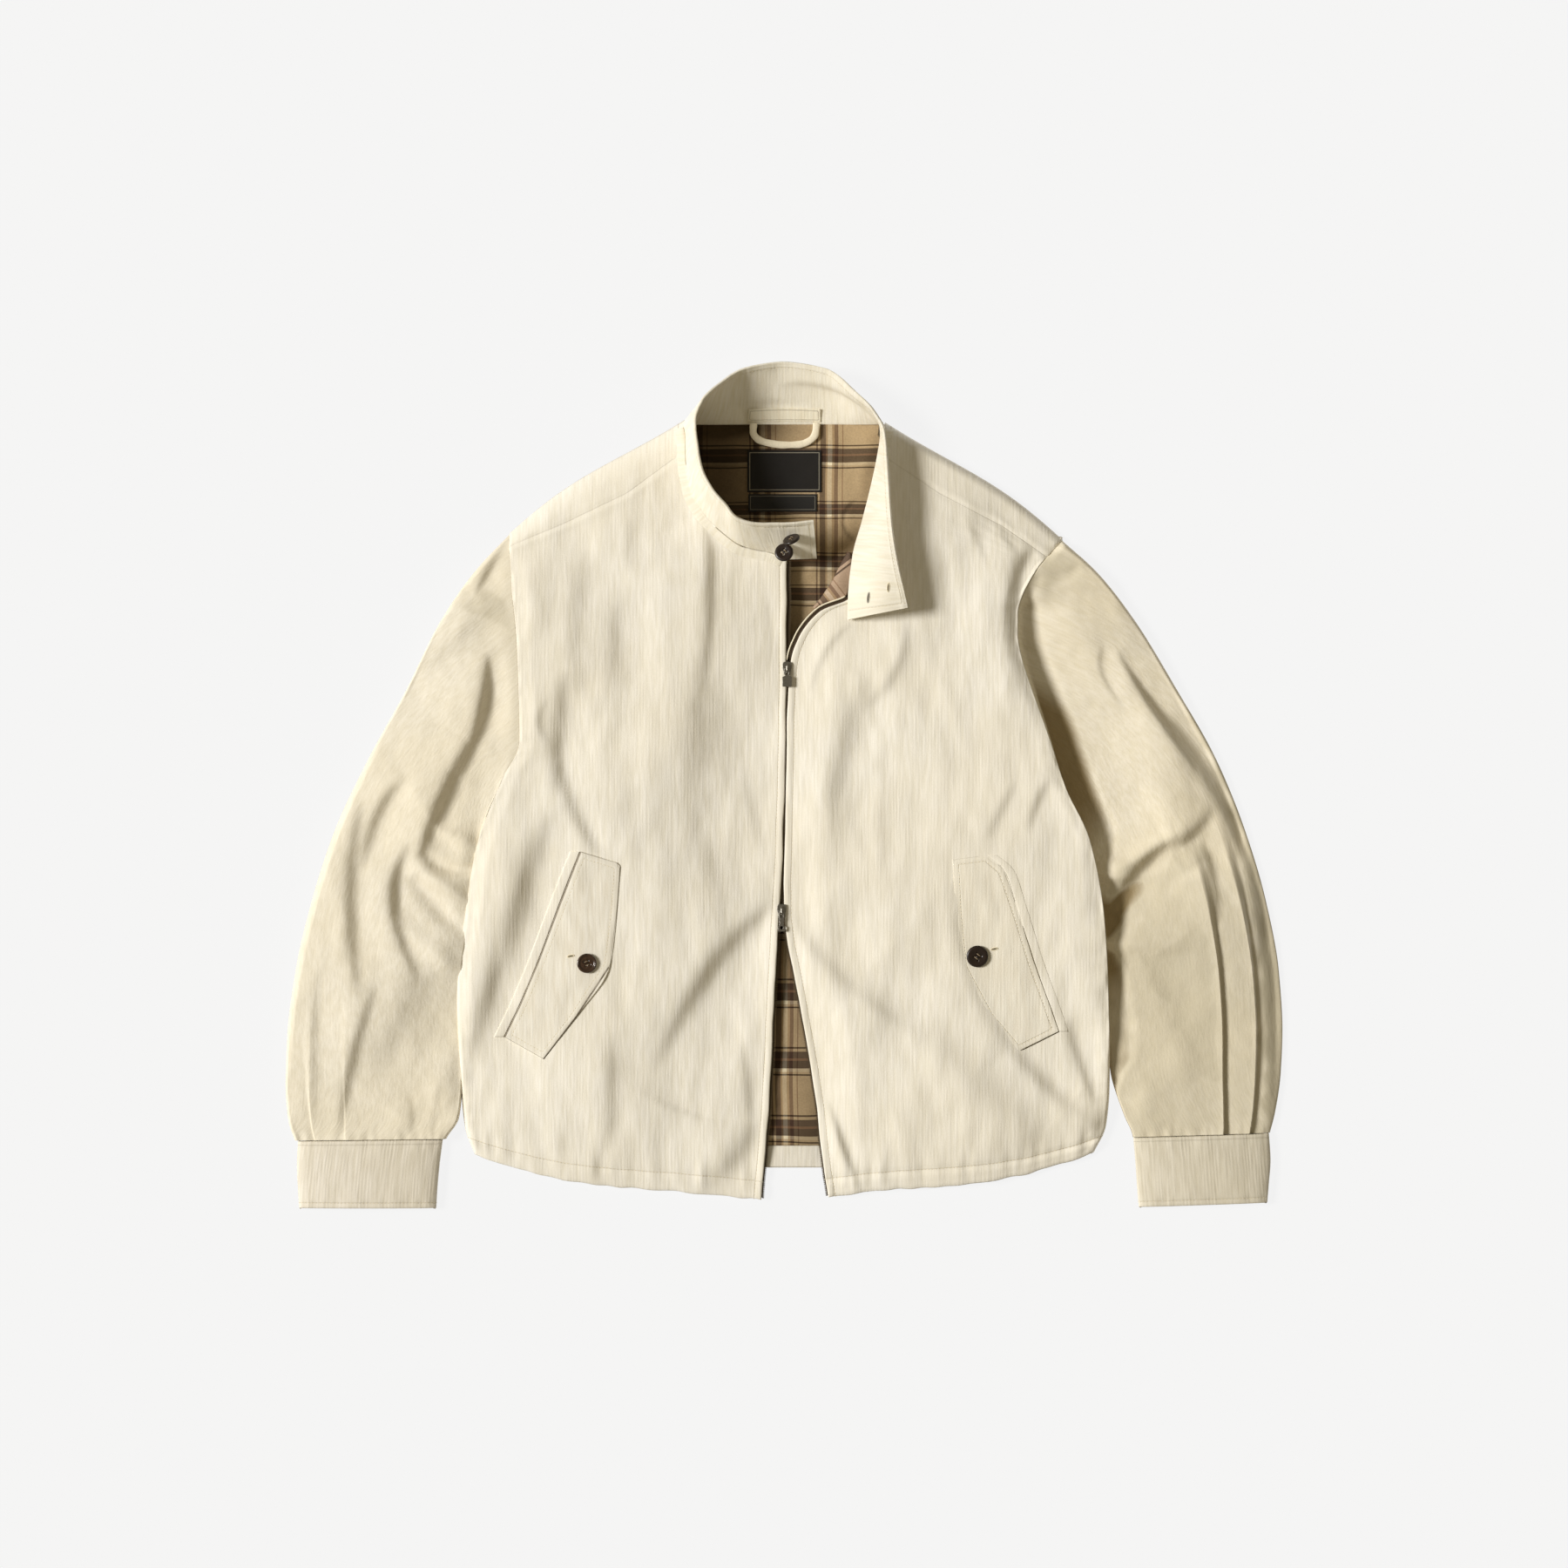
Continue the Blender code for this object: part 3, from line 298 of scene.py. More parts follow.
def corduroy(name, light, dark, warm, look, sewnAndShadowLines=()):
    # sewnAndShadowLines: sewn lines, and painted shadow lines along the flaps' edges: which edge distance, how
    # far in, half width, how dark
    material, tree, place = newMaterial(name)
    grain = grainOf(tree)

    def streaks(across, along, detail, seed):
        stretched = addNode(tree, "ShaderNodeMapping",
                            {"Vector": grain, "Scale": (across, along, 1), "Location": (seed, seed, 0)})
        return speckles(tree, stretched.outputs[0], 1.0, detail, 0.55)

    # thick and thin threads: short narrow streaks along the cords
    fine = streaks(look["slubAcross"], look["slubAlong"], 1.0, 3.1)
    broad = streaks(look["slubAcross"] * 0.3, look["slubAlong"] * 0.4, 2.0, 8.7)
    slub = maths(tree, "ADD", maths(tree, "MULTIPLY", fine, 0.6), maths(tree, "MULTIPLY", broad, 0.4))
    colour = mixed(tree, ranged(tree, slub, 0.38, 0.6, 0.0, 1.0), linear(dark), linear(light))
    clouds = ranged(tree, speckles(tree, place, 8.0, 2.0), 0.42, 0.62, 0.0, look["warmth"])
    colour = mixed(tree, clouds, colour, linear(warm))
    # nap patches, and painted shade on the sleeves, mix towards one greyer colour
    colour = mixed(tree, markOf(tree, "napAndPaintedShade", "Fac"), colour, linear(look["napAndShadeColour"]))

    # the cords themselves, a little wavy and uneven
    bend = ranged(tree, streaks(60, 9, 1.0, 1.7), 0.0, 1.0, -0.0012, 0.0012)
    turns = maths(tree, "MULTIPLY", maths(tree, "ADD", partsOf(tree, grain)[0], bend),
                  2 * pi / (look["cord"] * mm))
    cord = ranged(tree, maths(tree, "SINE", turns), -1.0, 1.0, 0.0, 1.0)
    patchy = ranged(tree, streaks(90, 22, 1.0, 5.3), 0.38, 0.62, 0.15, 1.3)
    groove = maths(tree, "MULTIPLY", maths(tree, "SUBTRACT", 1.0, cord), patchy)
    weave = speckles(tree, place, 1 / (look["thread"] * mm), 1.0)
    grit = ranged(tree, weave, 0.3, 0.7, -0.5 * look["grit"], 0.5 * look["grit"])
    # painted shade in the grooves between the cords; grit is random tone
    dim = maths(tree, "SUBTRACT", 1.0, maths(tree, "MULTIPLY", groove, look["grooveShade"]))
    colour = dimmed(tree, colour, maths(tree, "SUBTRACT", dim, grit))
    seams = partsOf(tree, markOf(tree, "seams", "Vector"))
    if look["deepShade"]:
        # painted shade: the deep places are darkened towards a warm colour, standing for light that has
        # crossed several layers of cloth
        deepShade = ranged(tree, partsOf(tree, place)[2], 0.0045, 0.0066, look["deepShade"], 0.0)
        deepShaded = mixed(tree, 1.0, colour, linear(look["deepShadeColour"]), "MULTIPLY")
        colour = mixed(tree, maths(tree, "MULTIPLY", deepShade, seams[2]), colour, deepShaded)

    height = maths(tree, "MULTIPLY", groove, -look["cordDepth"])
    height = maths(tree, "ADD", height, maths(tree, "MULTIPLY", fine, look["slubDepth"]))
    height = maths(tree, "ADD", height, maths(tree, "MULTIPLY", weave, look["threadDepth"]))
    for axis, distance, halfWidth, darkness in sewnAndShadowLines:
        # sewn lines, and painted shadow lines along the flaps' edges, each at a set distance from one of the
        # piece's edges
        off = maths(tree, "ABSOLUTE", maths(tree, "SUBTRACT", seams[axis], distance * mm))
        line = ranged(tree, off, halfWidth * mm, 0.0, 0.0, 1.0, interpolation_type="SMOOTHSTEP")
        colour = mixed(tree, maths(tree, "MULTIPLY", line, darkness), colour, linear(look["seamAndShadowColour"]))
        height = maths(tree, "SUBTRACT", height, maths(tree, "MULTIPLY", line, look["seamDepth"]))
    return finish(material, colour, height, 1.0, 1.0, {
        "Roughness": 0.92, "Specular IOR Level": 0.15, "Sheen Weight": look["sheen"],
        "Sheen Roughness": 0.45, "Sheen Tint": linear("#FFF6E2")})


clothLook = {              # depths in millimetres
    "cord": 2.9,           # real cords are near 2 mm; drawn a little coarser so that they show
    "cordDepth": 0.035,
    "slubAcross": 340,     # streaks a metre across the cords
    "slubAlong": 38,
    "slubDepth": 0.30,
    "thread": 1.3,         # drawn coarser than the real 0.4 mm thread
    "threadDepth": 0.10,
    "grooveShade": 0.035,
    "grit": 0.03,
    "warmth": 0.3,
    "napAndShadeColour": "#C1B8A1",
    "seamAndShadowColour": "#5E4C33",
    "seamDepth": 0.25,
    "sheen": 0.08,
    "deepShade": 0.0,
    "deepShadeColour": "#B3A384",
}
sleeveLook = dict(clothLook, slubAlong=110, slubAcross=300, grooveShade=0.02, cordDepth=0.02, warmth=0.4,
                  deepShade=0.9)
cuffLook = dict(clothLook, cord=3.0, grooveShade=0.055, cordDepth=0.06)
cuffLines = [(0, 4, 0.8, 0.1), (1, 5, 0.8, 0.06)]

# cotton corduroy with a slub: matt and soft, so only its cords and folds catch the light
bodyCord = corduroy("creamCottonCorduroy", "#F7F2E8", "#EEE8DA", "#EFE6D2", clothLook,
                    [(0, 6.5, 0.7, 0.06), (1, 17, 0.8, 0.12), (2, 0, 0.8, 0.08)])
# the same cloth bent round the arms: a deeper cream, with painted warm shade in its hollows
# the left sleeve's copy is painted darker than the right one, as shade on the side away from the light
sleeveCords = {-1: corduroy("creamCorduroySleeve", "#F3ECDD", "#EBE3D1", "#EDE2C9", sleeveLook),
               1: corduroy("creamCorduroySleeveLeft", "#ECE4D3", "#E4DBC6", "#E7DBBF", sleeveLook)}
# pulled tight at the wrists, so its cords show as fine ribs; the left cuff's copy is painted darker, as shade
cuffCords = {-1: corduroy("creamCorduroyCuff", "#F1EADE", "#E3DBCB", "#E6DDC9", cuffLook, cuffLines),
             1: corduroy("creamCorduroyCuffLeft", "#E4DDCE", "#D5CDBB", "#D8CFB9", cuffLook, cuffLines)}
# standing free at the collar: pale, with a faint line where it is stitched
collarCord = corduroy("creamCorduroyCollar", "#F6F1E5", "#EDE6D4", "#F0E7D3", clothLook,
                      [(0, 4.5, 0.8, 0.06)])
# a small strip at the neck, told apart by its darker sewn edge
patchCord = corduroy("creamCorduroyPatch", "#F6F0DF", "#EDE4CF", "#EFE4CA", clothLook, [(0, 2.2, 0.7, 0.35)])
# lying over the fronts at the pockets: painted shadow lines along its edges set it apart from the same cloth
# below
flapCords = {-1: corduroy("creamCorduroyFlap", "#F3EEE3", "#E9E2D3", "#ECE4D2", clothLook,
                          [(0, 0, 0.7, 0.2), (1, 0, 1.5, 0.95), (2, 0, 1.3, 0.95)]),
             1: corduroy("creamCorduroyFlapLeft", "#F5F0E4", "#EDE6D7", "#EFE6D2", clothLook,
                         [(0, 0, 0.7, 0.14), (0, 5.5, 0.6, 0.05), (2, 0, 1.3, 0.9)])}

checkSettings = {"repeat": 62.0, "twill": 1.5, "gloom": "#4E463C"}     # lengths in millimetres


def checkedCotton(name, ground, dimming):
    # woven cotton check: warp and weft stripes of one plain chart cross, so they mix where they meet
    material, tree, place = newMaterial(name)
    split = partsOf(tree, grainOf(tree))
    repeat = checkSettings["repeat"]
    # stripes in millimetres from the start of the repeat, with the yarn's colour
    charts = (
        [(0, "#5B4434"), (1.4, ground), (3.6, "#4E3A2C"), (8.6, "#A58A68"), (10.2, "#EFE3C8"),
         (14.5, "#A58A68"), (16.5, "#6E5340"), (20, ground), (23.6, "#8A6C52"), (24.6, ground)],
        [(0, "#3A2A20"), (1.5, ground), (4.2, "#43322A"), (10.2, "#74543F"), (12.4, "#3C2C23"),
         (19.6, "#E9DCBE"), (22.6, ground), (24.6, "#33261D"), (26, ground)])
    stripes = []
    for axis, chart in enumerate(charts):
        phase = maths(tree, "FRACT", maths(tree, "DIVIDE", split[axis], repeat * mm))
        ramp = addNode(tree, "ShaderNodeValToRGB", (phase,))
        ramp.color_ramp.interpolation = "CONSTANT"
        points = ramp.color_ramp.elements
        while len(points) < len(chart):
            points.new(0.5)
        for point, (start, _) in zip(points, chart):
            point.position = start / repeat
        for point, (_, colour) in zip(points, chart):
            point.color = linear(colour)
        stripes.append(ramp.outputs[0])
    # twill: the two yarns show in turn, a little more than a millimetre apart
    slant = maths(tree, "MULTIPLY", maths(tree, "ADD", split[0], split[1]),
                  2 * pi / (checkSettings["twill"] * mm))
    turn = ranged(tree, maths(tree, "SINE", slant), -1.0, 1.0, 0.46, 0.70)
    colour = mixed(tree, 0.55, mixed(tree, turn, *stripes), mixed(tree, 1.0, *stripes, "DARKEN"))
    # painted shade: the places marked as shaded are darkened towards the gloom colour
    gloom = mixed(tree, 1.0, colour, linear(checkSettings["gloom"]), "MULTIPLY")
    colour = mixed(tree, markOf(tree, "napAndPaintedShade", "Fac"), colour, gloom)
    fuzz = speckles(tree, place, 700.0, 1.0)
    colour = dimmed(tree, colour, ranged(tree, fuzz, 0.3, 0.7, dimming * 0.9, dimming * 1.06))
    return finish(material, colour, fuzz, 0.3, 0.2, {"Roughness": 0.9, "Specular IOR Level": 0.15})


def plainMaterial(name, colour, shine, metallic=0.0, speckle=0.0, size=600.0, coat=0.0):
    # size is how many specks there are to a metre
    material, tree, place = newMaterial(name)
    specks = speckles(tree, place, size, 2.0)
    tint = dimmed(tree, linear(colour), ranged(tree, specks, 0.3, 0.7, 1 - speckle, 1 + speckle))
    return finish(material, tint, specks, 0.25, 0.15,
                  {"Roughness": shine, "Metallic": metallic, "Coat Weight": coat})


def borderedWeave(name, ground, border, inset, width):
    # tight black satin, with a plain border woven a little way in from its edges
    material = plainMaterial(name, ground, 0.55, speckle=0.12, size=1800.0)
    tree = material.node_tree
    shader = tree.nodes["Principled BSDF"]
    tint = shader.inputs["Base Color"].links[0].from_socket
    inside = partsOf(tree, markOf(tree, "seams", "Vector"))[0]
    off = maths(tree, "ABSOLUTE", maths(tree, "SUBTRACT", inside, inset * mm))
    line = ranged(tree, off, width * mm, width * 0.5 * mm, 0.0, 1.0)
    setInputs(tree, shader, {"Base Color": mixed(tree, line, tint, linear(border)),
                             "Specular IOR Level": 0.15})
    return material


# brushed cotton lining: matt, warm and dark against the cream
backCheck = checkedCotton("checkedCottonLining", "#BCA481", 0.94)
# the same cotton out in the light, so paler
lapelCheck = checkedCotton("checkedCottonLapel", "#B9A08A", 0.97)
# folded cotton strip: matt and even, paler than the lining behind it
loopCord = plainMaterial("creamCottonBinding", "#EFE5CE", 0.9, speckle=0.05, size=500.0)
# resin with streaks about 4 mm wide, as in real horn: its polish catches one clear highlight
hornResin = plainMaterial("polishedHornResin", "#3A2618", 0.26, speckle=0.4, size=260.0, coat=0.5)
# the darker resin is less polished and only gleams softly
darkHorn = plainMaterial("darkHornResin", "#20120A", 0.38, speckle=0.35, size=260.0, coat=0.15)
# tumbled casting: soft grey faces, bright where its edges turn
pewter = plainMaterial("tumbledZincAlloy", "#8F8B84", 0.36, metallic=1.0, speckle=0.12, size=900.0)
# dense weave, its 0.4 mm threads drawn at 0.7 mm to show: a matt dark line under the teeth
brownTape = plainMaterial("wovenZipTape", "#4A3A28", 0.85, speckle=0.2, size=1400.0)
# darkened metal: a row of small dull glints
toothMetal = plainMaterial("darkenedBrass", "#6A5D4B", 0.42, metallic=0.9, speckle=0.2, size=1200.0)
# sewing thread, its 0.2 mm twist drawn at 0.7 mm to show: slightly shinier than the cloth
creamThread = plainMaterial("creamSewingThread", "#E6DABD", 0.7, speckle=0.08, size=1500.0)
# the same thread in grey, which reads cooler than the cloth
greyThread = plainMaterial("greyButtonholeThread", "#B4B1A6", 0.75, speckle=0.12, size=1500.0)
# the same thread in brown: two warm bars in the dark button
brownThread = plainMaterial("brownButtonThread", "#8C7A62", 0.7, speckle=0.12, size=1500.0)
# painted shade: a dark strip with no shine stands for the shadow inside a slit, so it reads as depth
holeShade = plainMaterial("slitShadeStrip", "#5E5748", 0.95, speckle=0.1, size=1500.0)
# satin: nearly black, with a soft sheen that shows its slight waves
labelWeave = borderedWeave("blackSatinWeave", "#252322", "#8A8578", 2.2, 0.45)
# the tab's satin is a shade greyer
tabWeave = borderedWeave("blackSatinTab", "#2C2B2A", "#6F6B62", 1.9, 0.4)
print("materials made")


frontSettings = {
    "wall": 1.6,
    "across": 104,         # places across a front
    "along": 236,          # places along it
    "rim": 1.9,            # the rim meets the back here
    "sideRoll": 9.0,
    "sideShare": 0.72,     # how much of the height the rolled side takes
    "sideFoot": 2.6,       # where the left side's wall ends
    "sideInset": 4.0,      # how far in its foot is
    "zipRoll": 200.0,
    "zipStitch": 6.5,      # zip stitching, from the zip edge
    "hemBand": 17.0,       # hem stitching, from the hem's edge
    "hemPucker": 1.2,
    "seamPucker": 1.1,
    "dents": 2.0,          # soft unevenness of the whole cloth
}

# rows: innerX innerY innerZ  outerX outerY outerZ  crown round sag, from the hem to the shoulder
# folds: x0 y0  x1 y1  x2 y2  width ridge drop
# seam: where the front meets the back's forward shoulder strip
# armholeRoll: how far the armhole edge rolls over, by y
# zipRise: the share of the rise right beside the zip
fronts = {
    -1: {
        "seed": 1.3, "zipRise": 0.0, "shoulderRoll": 20.0, "armholeRoll": [(0, 0)],
        "seam": [(-98, 300), (-143, 266.5), (-201.6, 238.4), (-249, 219)],
        "rows": [
            (-21, -382, 6.5, -284, -340, 4.2, 9, 0.6, 10),
            (-19, -358, 9.0, -293, -314, 5.0, 17, 0.6, 8),
            (-13, -285, 12.5, -297, -272, 9.0, 24, 0.3, 3),
            (-9, -200, 15.0, -300, -184, 12.5, 27, 0.1, 0),
            (-4.2, -114, 16.0, -293, -128, 16.0, 28, 0.0, 0),
            (-0.8, -48, 16.0, -282, -60, 20.0, 28, 0.0, 0),
            (0.8, 16, 16.0, -258, 4, 22.0, 29, 0.0, 0),
            (2.0, 80, 16.0, -242, 40, 23.0, 29, 0.0, 0),
            (2.4, 144, 17.0, -243, 96, 23.5, 29, 0.0, 0),
            (2.4, 206, 19.5, -246, 150, 23.0, 28, 0.0, 0),
            (-31, 213.5, 21.0, -249, 176, 22.0, 27, 0.0, 0),
            (-54, 227, 21.5, -250, 195, 20.0, 25, 0.0, -2),
            (-76, 249.5, 20.5, -251, 208, 17.0, 23, 0.1, -4),
            (-90, 286, 18.0, -252, 219, 13.0, 21, 0.2, -6),
            (-91.5, 334.2, 13.0, -252, 230, 8.0, 18, 0.3, -8)],
        "folds": [
            (804, 590, 816, 660, 808, 800, 9, 0, 7.0),      # beside the collar
            (806, 740, 800, 880, 812, 1030, 22, 0, 6.0),
            (672, 630, 666, 710, 664, 800, 19, 0, 6.0),
            (708, 690, 702, 760, 692, 825, 13, 0, 3.0),
            (652, 768, 642, 840, 641, 916, 15, 0, 10.0),    # above the pocket
            (644, 872, 662, 936, 700, 990, 10, 0, 7.6),
            (632, 802, 620, 830, 636, 856, 6, 0, 2.4),
            (644, 916, 590, 1056, 538, 1218, 26, 0, 14.0),  # down the side
            (578, 1100, 558, 1150, 542, 1216, 13, 0, 3.0),
            (896, 1034, 820, 1106, 750, 1230, 16, 0, 12.0),     # drag from the lower slider
            (704, 1180, 702, 1250, 700, 1320, 12, 0, 4.0),
            (850, 1196, 858, 1246, 862, 1292, 8, 0, 2.6),
            (864, 1286, 842, 1332, 786, 1380, 19, 0, 9.0),
            (724, 594, 722, 626, 722, 660, 8, 0, 2.0),
            (868, 640, 880, 700, 886, 770, 9, 0, 2.0),
            (840, 800, 858, 910, 890, 1010, 11, 0, 2.4),
            (748, 620, 744, 760, 748, 900, 24, 0, -3.0),
            (640, 1240, 650, 1290, 644, 1330, 12, 0, 2.2),
            (600, 900, 606, 980, 590, 1040, 10, 0, 2.0)],
    },
    1: {
        "seed": 7.9, "zipRise": 0.45, "shoulderRoll": 9.0,
        "armholeRoll": [(-400, 1.0), (50, 1.0), (90, 3.0), (140, 4.2), (162, 3.4), (178, 0.6), (190, 0),
                        (400, 0)],
        "seam": [(92, 300), (143, 266), (201, 236), (244, 206)],
        "rows": [
            (41, -379, 6.5, 285, -338, 4.2, 9, 0.6, 10),
            (37, -356, 9.0, 296, -312, 8.0, 17, 0.3, 8),
            (28, -280, 12.5, 299, -272, 14.0, 23, 0.0, 3),
            (13.6, -199, 15.0, 297, -184, 20.0, 26, 0.0, 0),
            (0.2, -114, 16.0, 293, -120, 25.0, 27, 0.0, 0),
            (0.8, -48, 16.0, 280, -52, 27.0, 28, 0.0, 0),
            (2.4, 16, 16.0, 258, -4, 28.0, 28, 0.0, 0),
            (3.6, 80, 16.0, 242, 44, 28.0, 28, 0.0, 0),
            (6.4, 113, 16.5, 227, 86, 28.0, 28, 0.0, 0),
            (13.4, 134, 18.0, 218, 114, 27.0, 28, 0.0, 0),
            (33, 158, 21.5, 214, 136, 25.0, 27, 0.0, 0),
            (61, 172, 24.0, 214, 156, 23.0, 26, 0.0, 0),
            (65, 206, 23.0, 218, 172, 21.0, 25, 0.0, 0),
            (74, 240, 21.5, 225, 186, 18.5, 24, 0.0, -2),
            (82, 272, 19.5, 234, 200, 16.0, 22, 0.1, -4),
            (88, 300, 17.0, 245, 212, 12.0, 20, 0.2, -6),
            (93, 332, 14.0, 256, 224, 8.0, 18, 0.3, -8)],
        "folds": [
            (1040, 712, 1030, 768, 988, 816, 10, 0, 5.0),   # below the turned collar
            (1000, 780, 964, 870, 954, 1010, 20, 0, 7.0),   # long soft fall beside the zip
            (980, 716, 950, 746, 930, 796, 7, 0, 3.0),
            (1016, 850, 1012, 930, 1014, 1016, 9, 0, 2.0),
            (908, 1048, 962, 1118, 1060, 1190, 14, 0, 6.0),     # drag from the lower slider
            (990, 1124, 1084, 1204, 1200, 1300, 32, 0, 10.0),
            (950, 1262, 970, 1320, 990, 1376, 7, 0, 7.0),
            (1108, 1100, 1148, 1184, 1222, 1270, 15, 0, 6.0),
            (1160, 1202, 1206, 1248, 1256, 1290, 15, 0, 6.4),
            (1224, 1168, 1236, 1212, 1258, 1268, 8, 0, 4.4),
            (1166, 896, 1148, 930, 1134, 962, 7, 0, 3.6),
            (1205, 894, 1190, 920, 1178, 956, 7, 0, 4.2),
            (1224, 886, 1230, 920, 1236, 956, 5, 0, 3.6),
            (1184, 628, 1168, 664, 1172, 728, 15, 0, 13.0),     # where the armhole starts to fall
            (1108, 592, 1120, 618, 1132, 648, 6, 0, 2.0),
            (1144, 606, 1156, 622, 1170, 640, 5, 0, 2.0),
            (1094, 1010, 1100, 1070, 1112, 1120, 9, 0, 2.4),
            (1264, 1256, 1260, 1296, 1232, 1330, 8, 0, 4.0),
            (1120, 700, 1124, 800, 1140, 900, 32, 0, -3.0),
            (1060, 1000, 1064, 1080, 1080, 1150, 16, 0, 2.0)],
    },
}


def frontSurface(side, u, v, fine=True):
    # places of a front and their marks, across it (u) and along it (v)
    own, s = fronts[side], frontSettings
    seed = own["seed"]
    u, v = np.broadcast_arrays(u, v)

    def across(v):
        row = readRows(own["rows"], v)
        bow = row[8] * np.sin(pi * u ** 1.6)
        return row, lerp(row[0], row[3], u), lerp(row[1], row[4], u) - bow

    row, x, y = across(v)
    innerX, innerY, innerZ, outerX, outerY, outerZ, crown, rounding, _ = row
    fromZip = np.hypot(x - innerX, y - innerY)
    fromSide = np.hypot(x - outerX, y - outerY)
    fromTop, fromHem = (np.hypot(x - edgeX, y - edgeY)
                        for _, edgeX, edgeY in (across(0 * v + len(own["rows"]) - 1), across(0 * v)))
    rise = lerp(eased(fromSide / 110), rolled(fromSide / s["sideRoll"]), s["sideShare"])
    rise = lerp(eased(fromSide / 140), rise, rounding)
    z = crown - (crown - outerZ) * (1 - rise)
    rise = lerp(eased(fromZip / s["zipRoll"]), eased(fromZip / 42), own["zipRise"])
    z -= (crown - innerZ) * (1 - rise)
    # where a sleeve lies low beside it, the armhole edge rolls over
    z -= np.interp(y, *zip(*own["armholeRoll"])) * bell(fromSide / 7) * eased((outerZ - 9) / 8)
    if fine:
        soft = (0.25 + 0.75 * eased(fromSide / 16)) * eased(fromSide / 3) * eased(fromTop / 34)
        soft *= (0.3 + 0.7 * eased(fromZip / 18)) * (0.5 + 0.5 * eased(fromHem / 40))
        z += soft * (foldHeight(own["folds"], x, y) + s["dents"] * (
            roughness(x, y * 0.55, 42, seed) + 0.28 * roughness(x, y * 0.5, 15, seed + 5)))
        # the hem is drawn in by its stitching
        fromBand = fromHem - s["hemBand"]
        pull = roughness(x, x * 0 + seed * 3, 8.5, seed + 9)
        z += s["hemPucker"] * pull * bell(fromBand / 13) * eased(fromSide / 8) - 0.8 * bell(fromBand / 2.6)
        z += 1.2 * eased(fromHem / 3) * eased(-fromBand / 8)
        # the armhole and side seams are puckered too
        pull = roughness(y, y * 0 + seed * 5, 9, seed + 13)
        z += s["seamPucker"] * pull * bell(fromSide / 9) * eased(fromSide / 3)
        # a folded strip along the zip, and the shoulder seam
        z += 0.7 * eased(fromZip / 1.2) * eased((s["zipStitch"] - fromZip) / 3)
        d = signedDistance(own["seam"], x, y)
        z += 0.5 * bell((d - 4) / 3.5) - 0.7 * bell(d / 1.8)
        x = x + 0.5 * roughness(y, y * 0 + seed, 26, seed + 21) * np.exp(-fromZip / 12)
        y = y + 0.9 * roughness(x, x * 0 + seed, 15, seed + 23) * np.exp(-fromHem / 14)
    z = lerp(s["rim"], z, rolled(fromTop / own["shoulderRoll"]))
    # below the sleeves the side edge turns down to the back
    z = lerp(z, lerp(s["rim"], z, rolled(fromSide / 3.2)), eased((-225 - y) / 60))
    z = np.maximum(z, s["rim"] + 1.7 * np.minimum(1, np.minimum(fromSide, fromTop) / 4))
    return grid(x, y, z), grid(fromZip, fromHem, signedDistance(own["seam"], x, y))


def evenPlaces(table, count):
    # rows of a table that lie evenly apart along its edges
    t = np.linspace(0, len(table) - 1, 1200)
    edge = readRows(table, t)
    steps = np.hypot(np.diff(edge[0]), np.diff(edge[1])) + np.hypot(np.diff(edge[3]), np.diff(edge[4]))
    length = np.concatenate([[0], np.cumsum(steps)])
    return np.interp(spread(count, 0.55) * length[-1], length, t)


frontGrids, trees = {}, {}
for side in fronts:
    v = evenPlaces(fronts[side]["rows"], frontSettings["along"])[:, None]
    points, marks = frontSurface(side, spread(frontSettings["across"])[None, :], v)
    frontGrids[side] = points, marks
    trees[side] = treeOf(points)
    grain = points[..., :2]
    if side > 0:
        # the side goes down to the back, under the edge that shows
        foot = frontSettings["sideFoot"]
        edge, inwards = points[:, -1:], points[:, -8:-7] - points[:, -1:]
        inwards[..., 2] = 0
        inwards /= np.linalg.norm(inwards, axis=-1, keepdims=True)
        down = np.linspace(0, 1, 9)[None, 1:, None]
        wall = edge + inwards * frontSettings["sideInset"] * down ** 0.6
        wall[..., 2] = lerp(edge[..., 2], foot, down[..., 0])
        points = np.concatenate([points, wall], 1)
        depth = (edge[..., 2:3] - foot) * down
        grain = np.concatenate([grain, grain[:, -1:] + np.concatenate([depth, 0 * depth], -1)], 1)
        marks = np.concatenate([marks, marks[:, -1:] + 0 * wall], 1)
    name = sideNames[side]
    sheetPiece("front" + name, points, bodyCord, "front_" + name.lower(), frontSettings["wall"], grain,
               marks, restsOn=["backPanel"])
print("fronts made")


sleeveSettings = {
    "wall": 1.6,
    "along": 200,
    "top": 100,
    "under": 26,
    "edge": 3.6,           # height of the folded edges
    "lip": 1.6,            # how far the edge beside the body rounds over
    "armholeGap": -0.4,    # the sleeve starts under the armhole's edge
    "dents": 0.9,
    "pleatWidth": 1.6,
}
